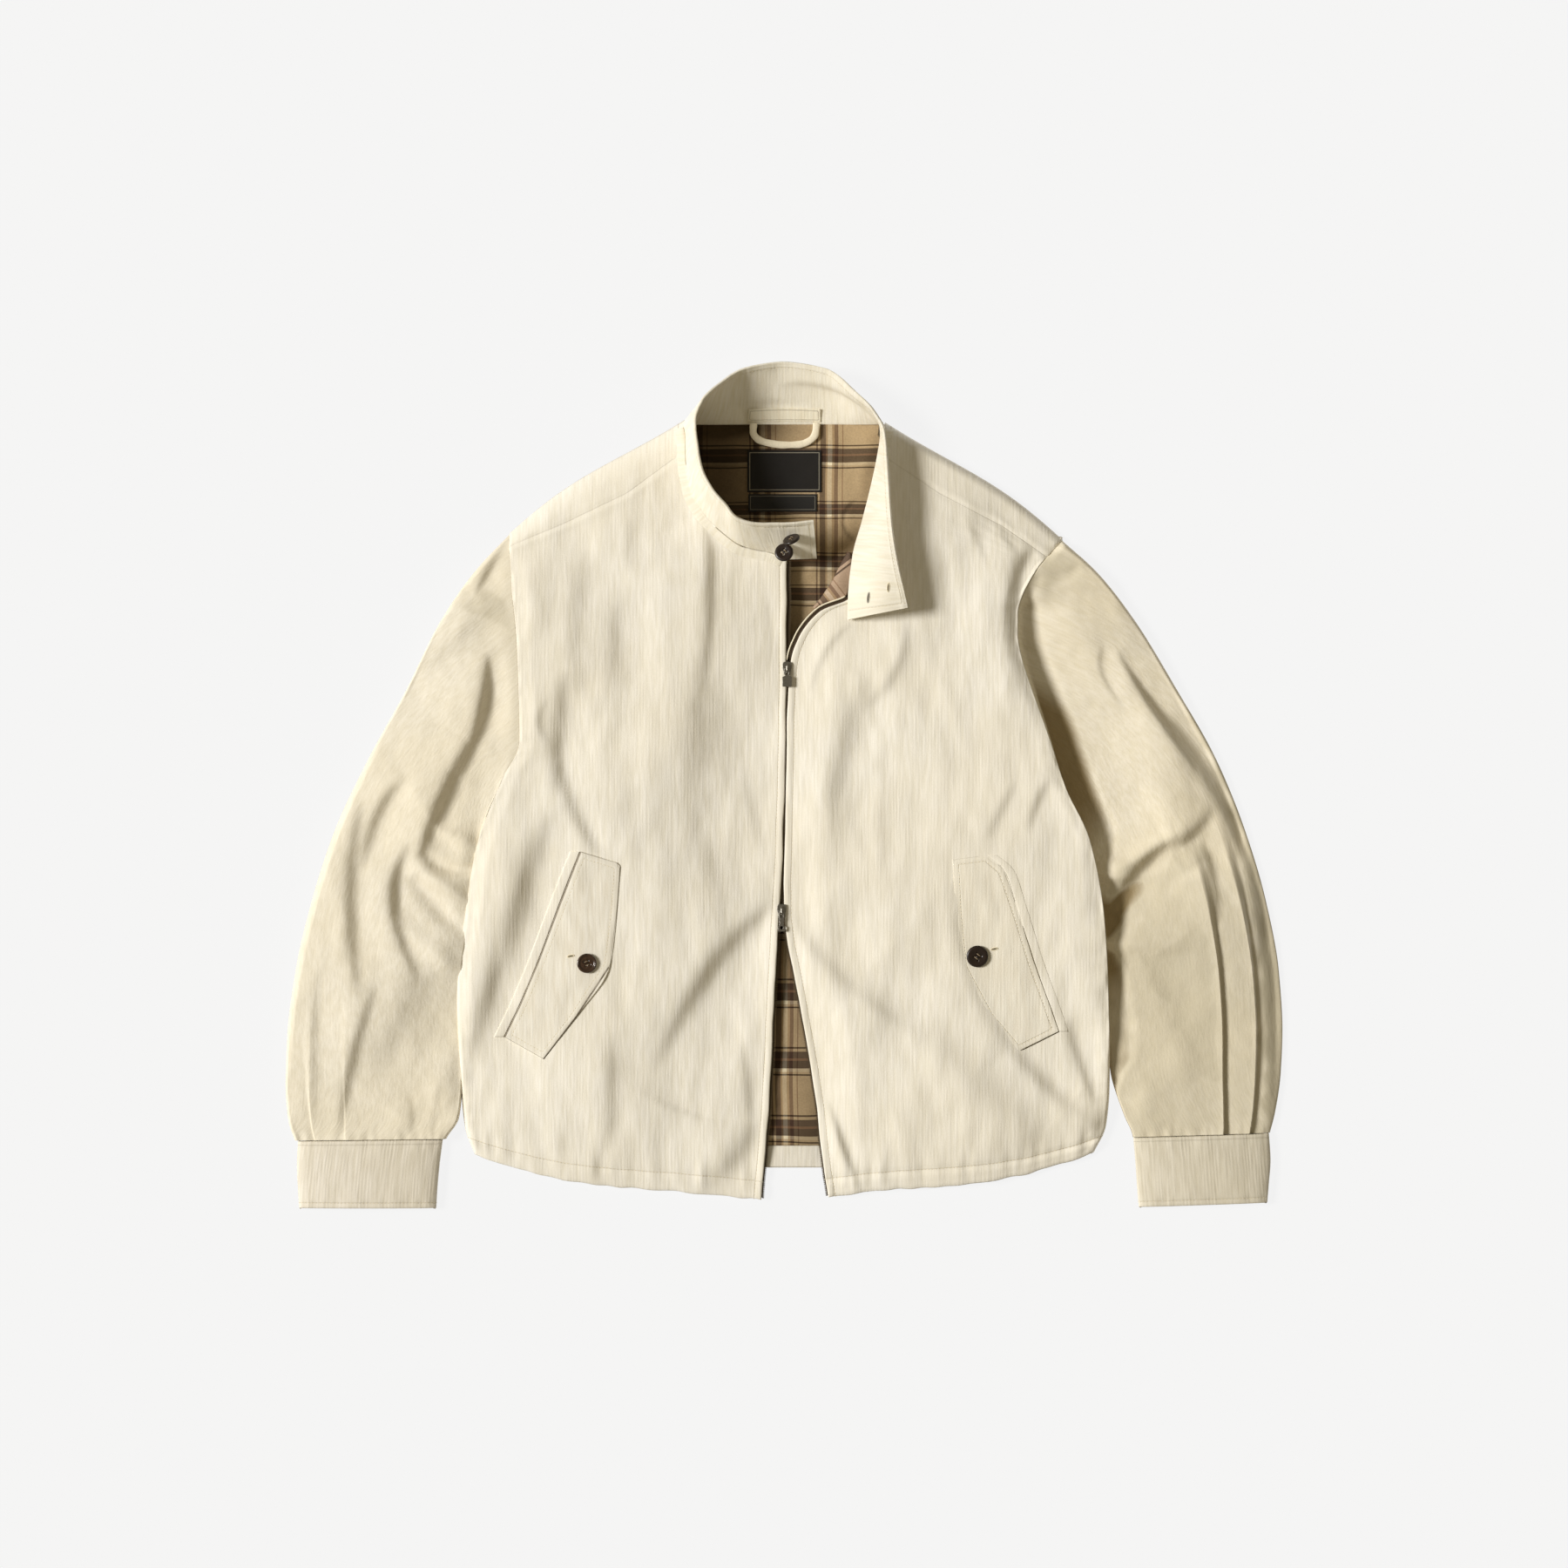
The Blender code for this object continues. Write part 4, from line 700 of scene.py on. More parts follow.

# rings: outerX outerY innerY gap, then eight heights from the body's side to the outside
# lips: y, how far the outer edge rounds over
# pleats: how far across, from which ring, depth
# hollow: y, height beside the body, how far the sleeve stays there, how far it rises, how soon
# napAndShadePatches: soft places where the nap lies the other way, and places of painted shade, as outline on
# the drawing grid, softness, strength
sleeves = {
    -1: {
        "seed": 2.2, "lips": [(0, 3)], "pleats": [(0.66, 6.6, 0.5), (0.86, 7.0, 1.0)],
        "rings": [
            (-252.5, 229.5, 2, 0.2, 23, 23, 24, 24, 24, 23, 21, 18),
            (-284, 195, -22, 0.2, 23, 23, 24, 24, 24, 23, 21, 18),
            (-315, 150, -44, -1.2, 21, 23, 24, 24, 24, 23, 21, 18),
            (-347, 86, -68, -2.2, 18.5, 23, 24, 24, 24, 23, 21, 18),
            (-382, 22, -96, -2.6, 17, 22, 23, 24, 24, 23, 20, 17),
            (-412, -42, -126, -3.2, 16, 21, 23, 23, 23, 22, 19, 16),
            (-433, -106, -158, -4.8, 16.5, 20, 21, 22, 22, 21, 18, 16),
            (-448, -170, -192, -5, 14, 18, 20, 20, 20, 19, 17, 15),
            (-456, -232, -232, -4.4, 11.5, 16, 18, 18, 18, 17, 16, 14),
            (-457.5, -276, -272, -2, 10, 16, 16, 16, 16, 15, 14, 13),
            (-455, -308, -306, 4, 12, 14, 14, 14, 14, 13, 12, 11),
            (-449, -327, -325.5, 20, 11, 13, 13, 13, 13, 12, 11, 10)],
        "folds": [
            (592, 624, 568, 648, 546, 684, 7, 0, 6.4),      # shoulder crease
            (588, 692, 540, 722, 488, 776, 15, 0, 4.0),
            (592, 716, 592, 745, 590, 790, 6, 0, 1.6),
            (560, 748, 556, 814, 528, 892, 10, 0, 12.0),    # long fold beside the body
            (540, 850, 509, 920, 480, 990, 12, 0, 15.0),
            (468, 894, 438, 930, 418, 996, 11, 0, 10.0),    # elbow
            (418, 916, 404, 1020, 414, 1145, 14, 0, 12.0),
            (472, 966, 454, 1040, 484, 1124, 10, 0, 11.0),
            (486, 974, 512, 996, 556, 996, 9, -6.6, 2.0),
            (474, 1004, 502, 1040, 534, 1070, 12, -6.8, 1.4),
            (496, 950, 530, 964, 566, 984, 10, 4.0, 0),
            (466, 992, 510, 1016, 548, 1042, 9, 3.6, 0),
            (456, 1050, 490, 1084, 532, 1116, 13, 3.6, 0),
            (434, 1130, 408, 1210, 390, 1304, 10, 0, 7.5),  # ridge down the forearm
            (486, 1100, 464, 1170, 420, 1256, 30, 0, 9.0),
            (530, 1150, 508, 1240, 500, 1330, 24, 0, -5.0),
            (368, 1110, 362, 1200, 362, 1296, 9, 0, 3.0),
            (506, 1236, 500, 1275, 496, 1304, 7, 0, 2.4),
            (470, 1258, 474, 1280, 470, 1302, 5, 0, 1.8),
            (536, 700, 512, 760, 470, 860, 22, 0, -1.6)],
        # painted shade on the facet below the shoulder crease
        "napAndShadePatches": [([(535, 698), (556, 678), (582, 690), (586, 722), (560, 716)], 9, 0.35)],
    },
    1: {
        "seed": 6.1, "lips": [(-330, 9), (-250, 20), (-60, 20), (0, 12), (60, 4), (300, 3)],
        "pleats": [(0.652, 4.5, 5.4), (0.845, 4.4, 5.0)],
        "rings": [
            (256.5, 223.5, -6, -1.5, 17, 17, 17, 17, 16, 15, 14, 12),
            (288, 194, -28, -2.5, 10, 11, 12, 13, 14, 14, 13, 12),
            (322, 150, -50, -3, 10, 11, 12, 13, 14, 14, 13, 11),
            (361, 86, -72, -3, 10, 11, 13, 14, 15, 15, 13, 10),
            (397, 22, -98, -3, 10, 12, 14, 15, 16, 15, 12, 9),
            (423, -42, -128, -3, 10, 12, 14, 16, 16, 14, 11, 8),
            (442, -106, -160, -3, 10, 11, 13, 15, 16, 14, 10, 6),
            (454, -170, -194, -3, 10, 11, 13, 15, 16, 14, 10, 6),
            (457.5, -224, -228, -2, 9, 11, 12, 14, 15, 13, 9, 6),
            (456, -264, -264, 0.6, 8, 11, 13, 14, 14, 12, 10, 7),
            (451, -300, -302, 14, 8, 11, 12, 13, 13, 12, 10, 8),
            (446, -320, -324, 28, 8, 10, 11, 12, 12, 11, 10, 8)],
        "hollow": [
            (240, 15, 0, 10, 20), (186, 15, 0, 14, 26), (174, 12, 3, 14, 30), (160, 5, 10, 14, 40),
            (140, 4.4, 13, 14, 50), (104, 4.4, 14, 15, 60), (50, 4.4, 15, 16, 70), (0, 4.4, 16, 16, 70),
            (-45, 4.4, 18, 12, 60), (-62, 4.4, 12, 10, 60), (-76, 8, 1, 10, 60), (-84, 9, 0, 10, 60),
            (-92, 4.4, 6, 16, 60), (-108, 4.4, 9, 20, 60), (-124, 4.4, 7, 16, 60), (-138, 5.6, 3, 9, 70),
            (-147, 8, 0, 8, 70), (-158, 4.6, 4, 9, 80), (-185, 4.4, 11, 12, 80), (-225, 4.4, 16, 12, 70),
            (-250, 4.4, 15, 12, 60), (-268, 5, 6, 9, 50), (-290, 5, 0, 8, 40)],
        "folds": [
            (1268, 740, 1264, 772, 1292, 816, 5, 0, 3.0),
            (1282, 748, 1322, 812, 1374, 886, 6, 0, 8.0),   # long fold along the outside
            (1310, 798, 1380, 884, 1426, 984, 13, 0, 11.0),
            (1398, 920, 1436, 1000, 1446, 1110, 14, 0, 9.0),
            (1392, 926, 1368, 956, 1342, 976, 10, 0, 11.0),     # elbow
            (1352, 962, 1308, 994, 1274, 1044, 10, 0, 13.0),
            (1362, 950, 1316, 976, 1276, 1000, 9, 4.0, 0),
            (1376, 964, 1390, 1000, 1398, 1060, 8, 0, 7.0),
            (1298, 1034, 1290, 1070, 1284, 1100, 12, 0, -3.0),
            (1316, 1098, 1340, 1160, 1372, 1244, 22, 0, 5.0),
            (1440, 980, 1458, 1100, 1460, 1290, 15, 0, 8.0),    # the outside turns down
            (1200, 654, 1220, 660, 1240, 650, 6, -2.4, 0),
            (1262, 740, 1300, 820, 1330, 900, 26, 0, -1.0),
            (1176, 650, 1182, 690, 1194, 740, 8, 0, 3.0)],
        "napAndShadePatches": [
            ([(1376, 1052), (1344, 1078), (1308, 1096), (1318, 1126), (1346, 1172), (1366, 1220),
              (1372, 1240), (1398, 1240), (1399, 1160), (1390, 1080)], 14, 0.72),
            # painted shade over the lower sleeve, along its outer edge and in a dark wedge at the elbow
            ([(1282, 985), (1340, 1000), (1400, 1010), (1446, 1000), (1460, 1320), (1280, 1320)], 60, 0.5),
            ([(1358, 800), (1394, 880), (1428, 965), (1441, 1060), (1448, 1160), (1450, 1300),
              (1500, 1300), (1500, 1100), (1480, 960), (1440, 870), (1400, 800)], 16, 0.92),
            ([(1345, 982), (1375, 968), (1388, 986), (1350, 1010), (1326, 1018)], 9, 0.5),
            ([(1196, 636), (1216, 634), (1242, 652), (1228, 668), (1198, 676)], 9, 0.4)],
    },
}


# nap patches and patches of painted shade, as a mask from 0 up to each strength
def patchesOfNapAndShade(napAndShadePatches, x, y):
    x, y = onDrawing(x, y)
    total = np.zeros_like(x)
    for outline, softness, strength in napAndShadePatches:
        inside = np.zeros(x.shape, bool)
        closed = outline + outline[:1]
        for (ax, ay), (bx, by) in zip(closed, closed[1:]):
            at = ax + (bx - ax) * (y - ay) / (by - ay if by != ay else 1)
            inside ^= ((ay > y) != (by > y)) & (x < at)
        depth = nearestOn(closed, x, y)[0] * np.where(inside, 1, -1)
        depth = depth + 0.4 * softness * roughness(x, y, 22, outline[0][0])
        total = np.maximum(total, strength * eased(depth / softness + 0.5))
    return total


def edgeOf(side):
    v = np.linspace(0, len(fronts[side]["rows"]) - 1, 1500)
    return frontSurface(side, np.ones_like(v), v, fine=False)[0]


def sleeveSurface(side):
    own, s = sleeves[side], sleeveSettings
    rings, hollow, seed = np.array(own["rings"], float), own.get("hollow"), own["seed"]
    edge = edgeOf(side)
    edgeX = lambda y: np.interp(y, edge[:, 1], edge[:, 0])
    edgeZ = lambda y: np.interp(y, edge[:, 1], edge[:, 2])
    stations = list(spread(s["top"], 0.6))
    for across, _, _ in own["pleats"]:
        stations += [across + d for d in (-0.012, -0.007, -0.003, 0.0, 0.003, 0.007, 0.012)]
    w = np.unique(np.round(stations, 5))
    last = len(rings) - 1
    v = last * spread(s["along"], 0.35)
    outerX, outerY, innerY, gap = columns(rings[:, :4], v)
    # the heights are read across each ring, then along the sleeve
    z = readRows(readRows(rings[:, 4:].T, w * (rings.shape[1] - 5)), v).T
    v = v[:, None]
    startOuterX, startOuterY, startInnerY, startGap = rings[0, :4]
    startX = edgeX(startInnerY) + side * startGap
    innerX = edgeX(innerY) + side * gap

    def placed(w):
        # the sleeve's first rings are held to the armhole
        armY = lerp(startInnerY, startOuterY, w)
        shift = edgeX(armY) + side * s["armholeGap"] - lerp(startX, startOuterX, w)
        return lerp(innerX, outerX, w) + np.clip(1 - v / 2.2, 0, 1) ** 2 * shift, lerp(innerY, outerY, w), armY

    x, y, armY = placed(w)
    span = np.hypot(outerX - innerX, outerY - innerY)
    lip = np.interp(outerY, *zip(*own["lips"]))
    inset = eased(w * span / 3) * eased((1 - w) * span / 7)
    if hollow:
        # the cloth lies low beside the body, then rises softly
        row = np.interp(-y, [-h[0] for h in hollow], np.arange(len(hollow)))
        _, low, lowWidth, riseWidth, farWidth = readRows(hollow, row)
        off = nearestOn([tuple(p) for p in edge[::60, :2]], x, y)[0] - lowWidth
        z = low + (2.2 * eased(off / riseWidth) + (z - low - 2.2) * eased(off / farWidth)) * (z > low)
    fall = s["dents"] * (roughness(x, y, 34, seed) + 0.3 * roughness(x, y, 12, seed + 4))
    z = z + (foldHeight(own["folds"], x, y) + fall * eased((z - 4) / 6)) * inset * (1 - bell(v / 0.35))
    for across, start, depth in own["pleats"]:
        d = (w - across) * np.abs(outerX - innerX)
        # the cloth rises to the pleat, then drops under its edge, softly where the pleat begins
        under = s["pleatWidth"] + 6 * bell((v - start - 0.8) / 1.1)
        shape = np.exp(-np.clip(-d, 0, None) / 10) * 0.55 - eased(d / under)
        z = z + eased((v - start) / 1.3) * depth * shape * np.exp(-np.clip(d - under, 0, None) / 12)
    # cloth gathered into the cuff
    z = z + 0.7 * roughness(x, x * 0, 7, seed + 8) * bell((last - v) / 0.45) * inset
    z = lerp(s["edge"], z, rolled(w * span / s["lip"]) * rolled((1 - w) * span / lip))
    # the start of the sleeve follows the armhole
    step = 0.25 + (1.5 * eased((172 - armY) / 25) if hollow else 0)
    hold = np.clip(1 - v / (0.13 if hollow else 0.9), 0, 1) ** 1.7
    z = lerp(z, np.maximum(edgeZ(armY) - step, s["edge"]), hold)
    z = z + 0.5 * roughness(y, y * 0, 8, seed + 11) * bell(v / 0.22) * (1 - hold) * inset
    low = np.linspace(1, 0, s["under"] + 2)[1:-1]
    underX, underY, _ = placed(low)
    underZ = s["edge"] * np.clip(1 - np.sin(pi * low) / 0.25, 0, 1) ** 2
    points = np.concatenate([grid(x, y, np.maximum(z, s["edge"])), grid(underX, underY, underZ)], 1)
    middleX, middleY = (innerX + outerX)[:, 0] / 2, (innerY + outerY)[:, 0] / 2
    length = np.concatenate([[0], np.cumsum(np.hypot(np.diff(middleX), np.diff(middleY)))])[:, None]
    around = np.concatenate([w, 2 - low, [2.0]])
    # marks the top of the sleeve, where the painted deep shade may show
    beside = 1000 * eased((0.5 - around[:-1]) / 0.15)
    napAndPaintedShade = patchesOfNapAndShade(own["napAndShadePatches"], points[..., 0], points[..., 1])
    napAndPaintedShade[:, len(w):] = 0
    return points, grid(around * span, -length), grid(length, length[-1] - length, beside), napAndPaintedShade


for side, name in sideNames.items():
    points, grain, marks, napAndPaintedShade = sleeveSurface(side)
    sheetPiece("sleeve" + name, points, sleeveCords[side], "sleeve_" + name.lower(), sleeveSettings["wall"],
               grain, marks, napAndPaintedShade, closed=True)
print("sleeves made")


cuffSettings = {"wall": 2.4, "edge": 5.0, "across": 60, "under": 30, "along": 34, "waver": 0.5,
                "sewnAt": 5.0}

# outerX outerY innerX innerY crown, from the sleeve to the free edge
cuffs = {
    -1: {"seed": 3.3, "rings": [(-446, -327.5, -313, -325.9, 14), (-447, -350, -316, -350, 15),
                                (-446, -372, -318, -372, 15), (-445, -389, -319, -389, 14)]},
    1: {"seed": 4.4, "rings": [(445, -320.4, 320.5, -324.4, 14), (446.5, -345, 322.5, -348, 15),
                               (445, -366, 324, -370, 15), (443.5, -384, 325.5, -388, 14)]},
}


def cuffSurface(rings, seed):
    s = cuffSettings
    v = (len(rings) - 1) * spread(s["along"], 0.6)
    outerX, outerY, innerX, innerY, crown = columns(rings, v)
    w = spread(s["across"], 0.85)
    low = spread(s["under"], 0.85)[::-1][1:-1]
    x, y = lerp(innerX, outerX, w), lerp(innerY, outerY, w)
    z = lerp(s["edge"], crown, np.sin(pi * w) ** 0.35)
    z = z + s["waver"] * roughness(x, y, 22, seed) * np.sin(pi * w)
    length = np.abs(outerY - rings[0][1])
    lip = np.minimum(length, length.max() - length)
    sewn = lip - s["sewnAt"]
    z = z - 1.1 * (1 - rolled(lip / 2.2)) - 0.5 * bell(sewn / 1.3)
    z = z + 0.35 * roughness(x, x * 0, 6, seed + 3) * bell(sewn / 4)
    underZ = s["edge"] * np.clip(1 - np.sin(pi * low) / 0.3, 0, 1) ** 2
    under = grid(lerp(innerX, outerX, low), lerp(innerY, outerY, low), underZ)
    points = np.concatenate([grid(x, y, z), under], 1)
    around = np.concatenate([w, 2 - low, [2.0]])
    marks = grid(length, length.max() - length, np.zeros(points.shape[:2]))
    return points, grid(around * np.abs(outerX - innerX), -length), marks


cuffGrids = []
for side, name in sideNames.items():
    points, grain, marks = cuffSurface(cuffs[side]["rings"], cuffs[side]["seed"])
    cuffGrids.append((points, marks))
    sheetPiece("cuff" + name, points, cuffCords[side], "cuff_" + name.lower(), cuffSettings["wall"], grain,
               marks, closed=True)
print("cuffs made")


collarSettings = {"wall": 2.4, "inset": 1.9, "sections": 12, "heights": 30, "waver": 0.8, "sewnAt": 4.5,
                  "neckLine": 330.9, "earLine": 207.5, "endLine": 59}

# seam (0 right front, 1 left front, 2 back, 3 dog ear, 4 left end), at, seamZ, freeX freeY freeZ, roll
collarTable = [
    (3, 30, 19, 27, 240, 53, 1),
    (0, 9.02, 19.5, 0, 237, 56, 1),
    (0, 9.5, 20.5, -22, 237, 59, 0),
    (0, 10.3, 21, -42, 242, 62, 0),
    (0, 11.15, 21.5, -54, 255, 64, 0),
    (0, 11.95, 21, -66, 269, 65, 0),
    (0, 12.6, 20, -75, 288, 65, 0),
    (0, 13.2, 18, -79, 309, 64, 0),
    (0, 13.66, 14.5, -81, 329, 62, 0),
    (2, -92, 8, -75, 348, 58, 0),
    (2, -72, 4, -57, 366, 47, 0),
    (2, -40, 3, -35, 380, 33, -2),
    (2, 0, 2.8, 0, 385.8, 25, -3),
    (2, 40, 2.8, 38, 380, 28, -2),
    (2, 70, 4, 64, 360, 36, 0),
    (2, 90, 8, 81, 342, 41, 0),
    (1, 15.6, 13.5, 91, 322, 44, 0),
    (1, 15.0, 17, 94, 296, 47, 0),
    (1, 14.0, 20, 96, 267, 50, 2),
    (1, 13.0, 22.5, 98, 238, 52, 5),
    (1, 12.1, 24.5, 103, 204, 53, 7),
    (1, 11.1, 27.0, 110, 174, 50, 7),
    (4, 150, 28, 113, 161, 47, 5),
]
foldsCollar = [
    (896, 442, 962, 450, 1010, 490, 6, 0, 7.0),
    (956, 434, 985, 440, 1003, 466, 5, 0, -3.6),
    (838, 468, 880, 461, 930, 464, 5, 0, 2.6),
    (806, 470, 826, 440, 862, 428, 9, 0, 3.6),
]
# the seam allowance: how far out, how deep in the front
allowanceSteps = [(12.0, 2.2), (8.0, 1.15), (4.4, 0.5), (1.2, -0.2)]


def edgeNormal(side, v):
    # level direction out of a front's zip edge
    a, b = readRows(fronts[side]["rows"], [max(v - 0.05, 0), v + 0.05])[:2].T
    dx, dy = (b - a) / np.hypot(*(b - a))
    return np.array([-dy * side, dx * side])


def collarLineOf():
    s = collarSettings
    line = []
    for seam, at, *rest in collarTable:
        if seam < 2:
            side = (-1, 1)[seam]
            edge = readRows(fronts[side]["rows"], at)[:2] + edgeNormal(side, at) * s["inset"]
        else:
            edge = ((at, s["neckLine"]), (at, s["earLine"]), (s["endLine"], at))[seam - 2]
        line.append((*edge, *rest))
    return line


collarLine = collarLineOf()


def collarPoint(section, height):
    c = readRows(collarLine, section)
    point = lerp(np.stack(c[0:3], -1), np.stack(c[3:6], -1), np.asarray(height)[..., None])
    point[..., 2] += c[6] * np.sin(pi * height)
    return point


def normalsOf(points):
    normal = np.cross(np.gradient(points, axis=1), np.gradient(points, axis=0))
    return normal / np.linalg.norm(normal, axis=-1, keepdims=True)


def allowanceRow(sections, out, sink):
    # the seam allowance spreads onto the fronts
    last = len(collarTable) - 1
    row = []
    for at in sections:
        x, y, z = readRows(collarLine, at)[:3]
        z -= 0.02 * out
        onFront = collarTable[int(round(min(at, last)))][0] < 2 and 1.3 <= at <= 8.6
        if onFront or 15.6 <= at <= 21.4:
            ahead, behind = (readRows(collarLine, a)[:2] for a in (min(at + 0.1, last), at - 0.1))
            dx, dy = (ahead - behind) / np.linalg.norm(ahead - behind)
            away = -1 if dy * x - dx * (y - 260) < 0 else 1
            reach = away * (out + collarSettings["inset"] - 1.0)
            x, y = x + dy * reach, y - dx * reach
            z = dropOn(trees[-1 if at < 9 else 1], x, y)[0].z - sink
        row.append((x, y, z))
    return row


def buildCollar():
    s = collarSettings
    section = np.linspace(0, len(collarTable) - 1, s["sections"] * (len(collarTable) - 1) + 1)
    ends = np.array([0.02, 0.05, 0.09])
    section = np.sort(np.concatenate([section, ends, section[-1] - ends]))[:, None]
    section, height = np.broadcast_arrays(section, spread(s["heights"], 0.7)[None, :])
    points = collarPoint(section, height)
    normal = normalsOf(points)
    # the free edge and the ends are a little wavy, and the stitching draws the cloth in
    tall = np.linalg.norm(points[:, -1] - points[:, 0], axis=-1)[:, None]
    fromFree = (1 - height) * tall
    steps = np.linalg.norm(np.diff(points[:, -1], axis=0), axis=-1)
    length = np.concatenate([[0], np.cumsum(steps)])[:, None]
    wave = s["waver"] * roughness(length + 0 * height, 40 * height, 30, 2.5)
    wave = wave * np.sin(pi * np.clip(height, 0, 1)) ** 0.5
    sewn = fromFree - s["sewnAt"]
    wave = wave + 0.3 * roughness(length + 0 * height, 0 * height, 7, 6.5) * bell(sewn / 4)
    wave = wave - 0.45 * bell(sewn / 1.2)
    back = eased((section - 8) / 2) * eased((16.5 - section) / 2) * np.sin(pi * height) ** 0.4
    wave = wave + foldHeight(foldsCollar, points[..., 0], points[..., 1]) * back
    points = points + normal * wave[..., None]
    fromEnd = np.minimum(length, length[-1] - length)
    marks = grid(np.minimum(fromFree, fromEnd), height * tall, fromEnd)
    skirt = np.array([allowanceRow(section[:, 0], *step) for step in allowanceSteps]).swapaxes(0, 1)
    outs = np.array([out for out, _ in allowanceSteps])
    piece = sheetPiece(
        "standCollar", np.concatenate([skirt, points], 1), collarCord, "collar", s["wall"],
        np.concatenate([grid(length, -outs), grid(length, height * tall)], 1),
        np.concatenate([grid(tall, 0 * outs, fromEnd), marks], 1),
        offset=0.0, held="folded", restsOn=["frontRight", "frontLeft"], cut=points)
    return piece, points, normal, marks


collar, collarGrid, collarNormals, collarMarks = buildCollar()
print("collar made")


backSettings = {"hem": -352.5, "neck": 331.9, "facingTop": -332.0, "inset": 14.0, "wall": 1.6,
                "liningWall": 1.4}


def outlineOf(inset):
    hem, neck = backSettings["hem"], backSettings["neck"]
    lines = {}
    for side in fronts:
        edge = edgeOf(side)
        keep = (edge[:, 1] > hem + 22) & (edge[:, 1] < 230 - inset)
        line = [(p[0] - side * inset, p[1]) for p in edge[keep][::12]]
        u = np.array([.85, .7, .55, .4, .25, .1, 0])
        top, _ = frontSurface(side, u, len(fronts[side]["rows"]) - 1.0, fine=False)
        line += [(p[0] - side * inset * 0.5, p[1] - inset * 0.9) for p in top]
        lines[side] = [p for p in line if p[1] < neck - 1 - inset * 0.1 or abs(p[0]) > 90]
    corner = 88 if inset > 8 else 60
    return ([(150, hem), (230 - inset, hem + 1.5), (264 - inset, hem + 6)] + lines[1]
            + [(corner, neck), (-corner, neck)] + lines[-1][::-1]
            + [(-262 + inset, hem + 6), (-230 + inset, hem + 1.5), (-150, hem)])


def spanAt(outline, y):
    # left and right limits of an outline at a height
    hits = [ax + (bx - ax) * (y - ay) / (by - ay)
            for (ax, ay), (bx, by) in zip(outline, outline[1:] + outline[:1]) if (ay <= y) != (by <= y)]
    return (min(hits), max(hits)) if hits else (0.0, 0.0)


def rowsBetween(inset, low, high, rows, cols):
    outline = outlineOf(inset)
    ys = np.linspace(low, high, rows)
    left, right = np.array([spanAt(outline, min(max(y, low + 0.3), high - 0.3)) for y in ys]).T
    x = lerp(left[:, None], right[:, None], spread(cols, 0.4))
    return x, ys[:, None] + 0 * x


def liningHeight(x, y):
    neck = eased((y - 150) / 40) * eased((330 - y) / 14) * eased((100 - abs(x)) / 30)
    gap = eased((-120 - y) / 20) * eased((y + 331) / 12) * eased((60 - abs(x - 8)) / 24)
    swell = 1.7 + 1.7 * roughness(x, y * 0.6, 30, 4.1) + 0.5 * roughness(x, y, 11, 9.1)
    held = 1 - 0.85 * eased((48 - abs(x)) / 12) * eased((y - 240) / 12)   # flat under the labels
    return 3.5 + np.clip(swell, 0.1, 3.6) * np.maximum(neck, gap) * held


def liningGrain(x, y):
    # the woven lines waver with the cloth, and the crumpled neck shows the repeat shortened
    chart = np.interp(onDrawing(x, y)[1], [400, 449, 511, 538, 576, 596, 634, 657, 671, 695, 740, 1124, 1434],
                      [-100, -62, 0, 26, 62, 88, 124, 150, 186, 212, 248, 558, 806])
    return grid(x + roughness(x, y, 60, 12.0) - 29.6 + 41 * eased((100 - y) / 220),
                chart + 1.2 * roughness(x, y, 40, 15.0))


def liningShade(x, y):
    # painted shade: dark under the collar's left side and beside the left front, and in a curled fold
    shade = 0.85 * eased((30 - x) / 96) * eased((y - 130) / 40)
    shade = shade + 0.28 * eased((x + 2) / 16) * eased((-150 - y) / 30)
    curl = np.abs(np.hypot(x - 73.6, y - 241.6) - 20)
    shade = shade + 0.5 * eased(1 - curl / 3.2) * eased((68 - x) / 9)
    return np.clip(shade + 0.35 * eased((y - 312) / 16) * eased((40 - x) / 60), 0, 0.95)


b = backSettings
x, y = rowsBetween(1.0, b["hem"] + 0.4, 331.5, 180, 90)
sheetPiece("backPanel", grid(x, y, b["wall"]), bodyCord, "back_panel", b["wall"])
x, y = rowsBetween(b["inset"], b["facingTop"] + 0.3, 330.6, 330, 200)
# the lining's painted shade rides in the same attribute as the sleeves' nap
sheetPiece("backLining", grid(x, y, liningHeight(x, y)), backCheck, "back_lining", b["liningWall"],
           liningGrain(x, y), napAndPaintedShade=liningShade(x, y), slot="lining", restsOn=["backPanel"])
x, y = np.meshgrid(np.linspace(-240, 240, 200), np.linspace(b["hem"] + 1, b["facingTop"], 14))
z = 3.5 + 0.5 * roughness(x, y * 0.4, 12, 3.7) * eased((y + 352) / 4)
sheetPiece("backHemFacing", grid(x, y, z), bodyCord, "back_hem_facing", b["liningWall"],
           restsOn=["backPanel"])
print("back and lining made")


turnedSettings = {"wall": 1.2, "along": 44, "across": 18, "below": 2.1}
# section of the front's edge, how far out, roll x y
turnedTable = [(12.1, 3.5, 58, 213), (11.8, 3.5, 51, 200), (11.3, 3.5, 44, 186), (10.8, 3.9, 38, 177),
               (10.3, 3.9, 31.5, 168), (9.95, 3.9, 26, 162)]


def edgeHeight(side, v, inFrom=0.0):
    # places on a front a little in from its zip edge
    row = readRows(fronts[side]["rows"], v)
    return frontSurface(side, inFrom / np.hypot(row[3] - row[0], row[4] - row[1]), v)[0]


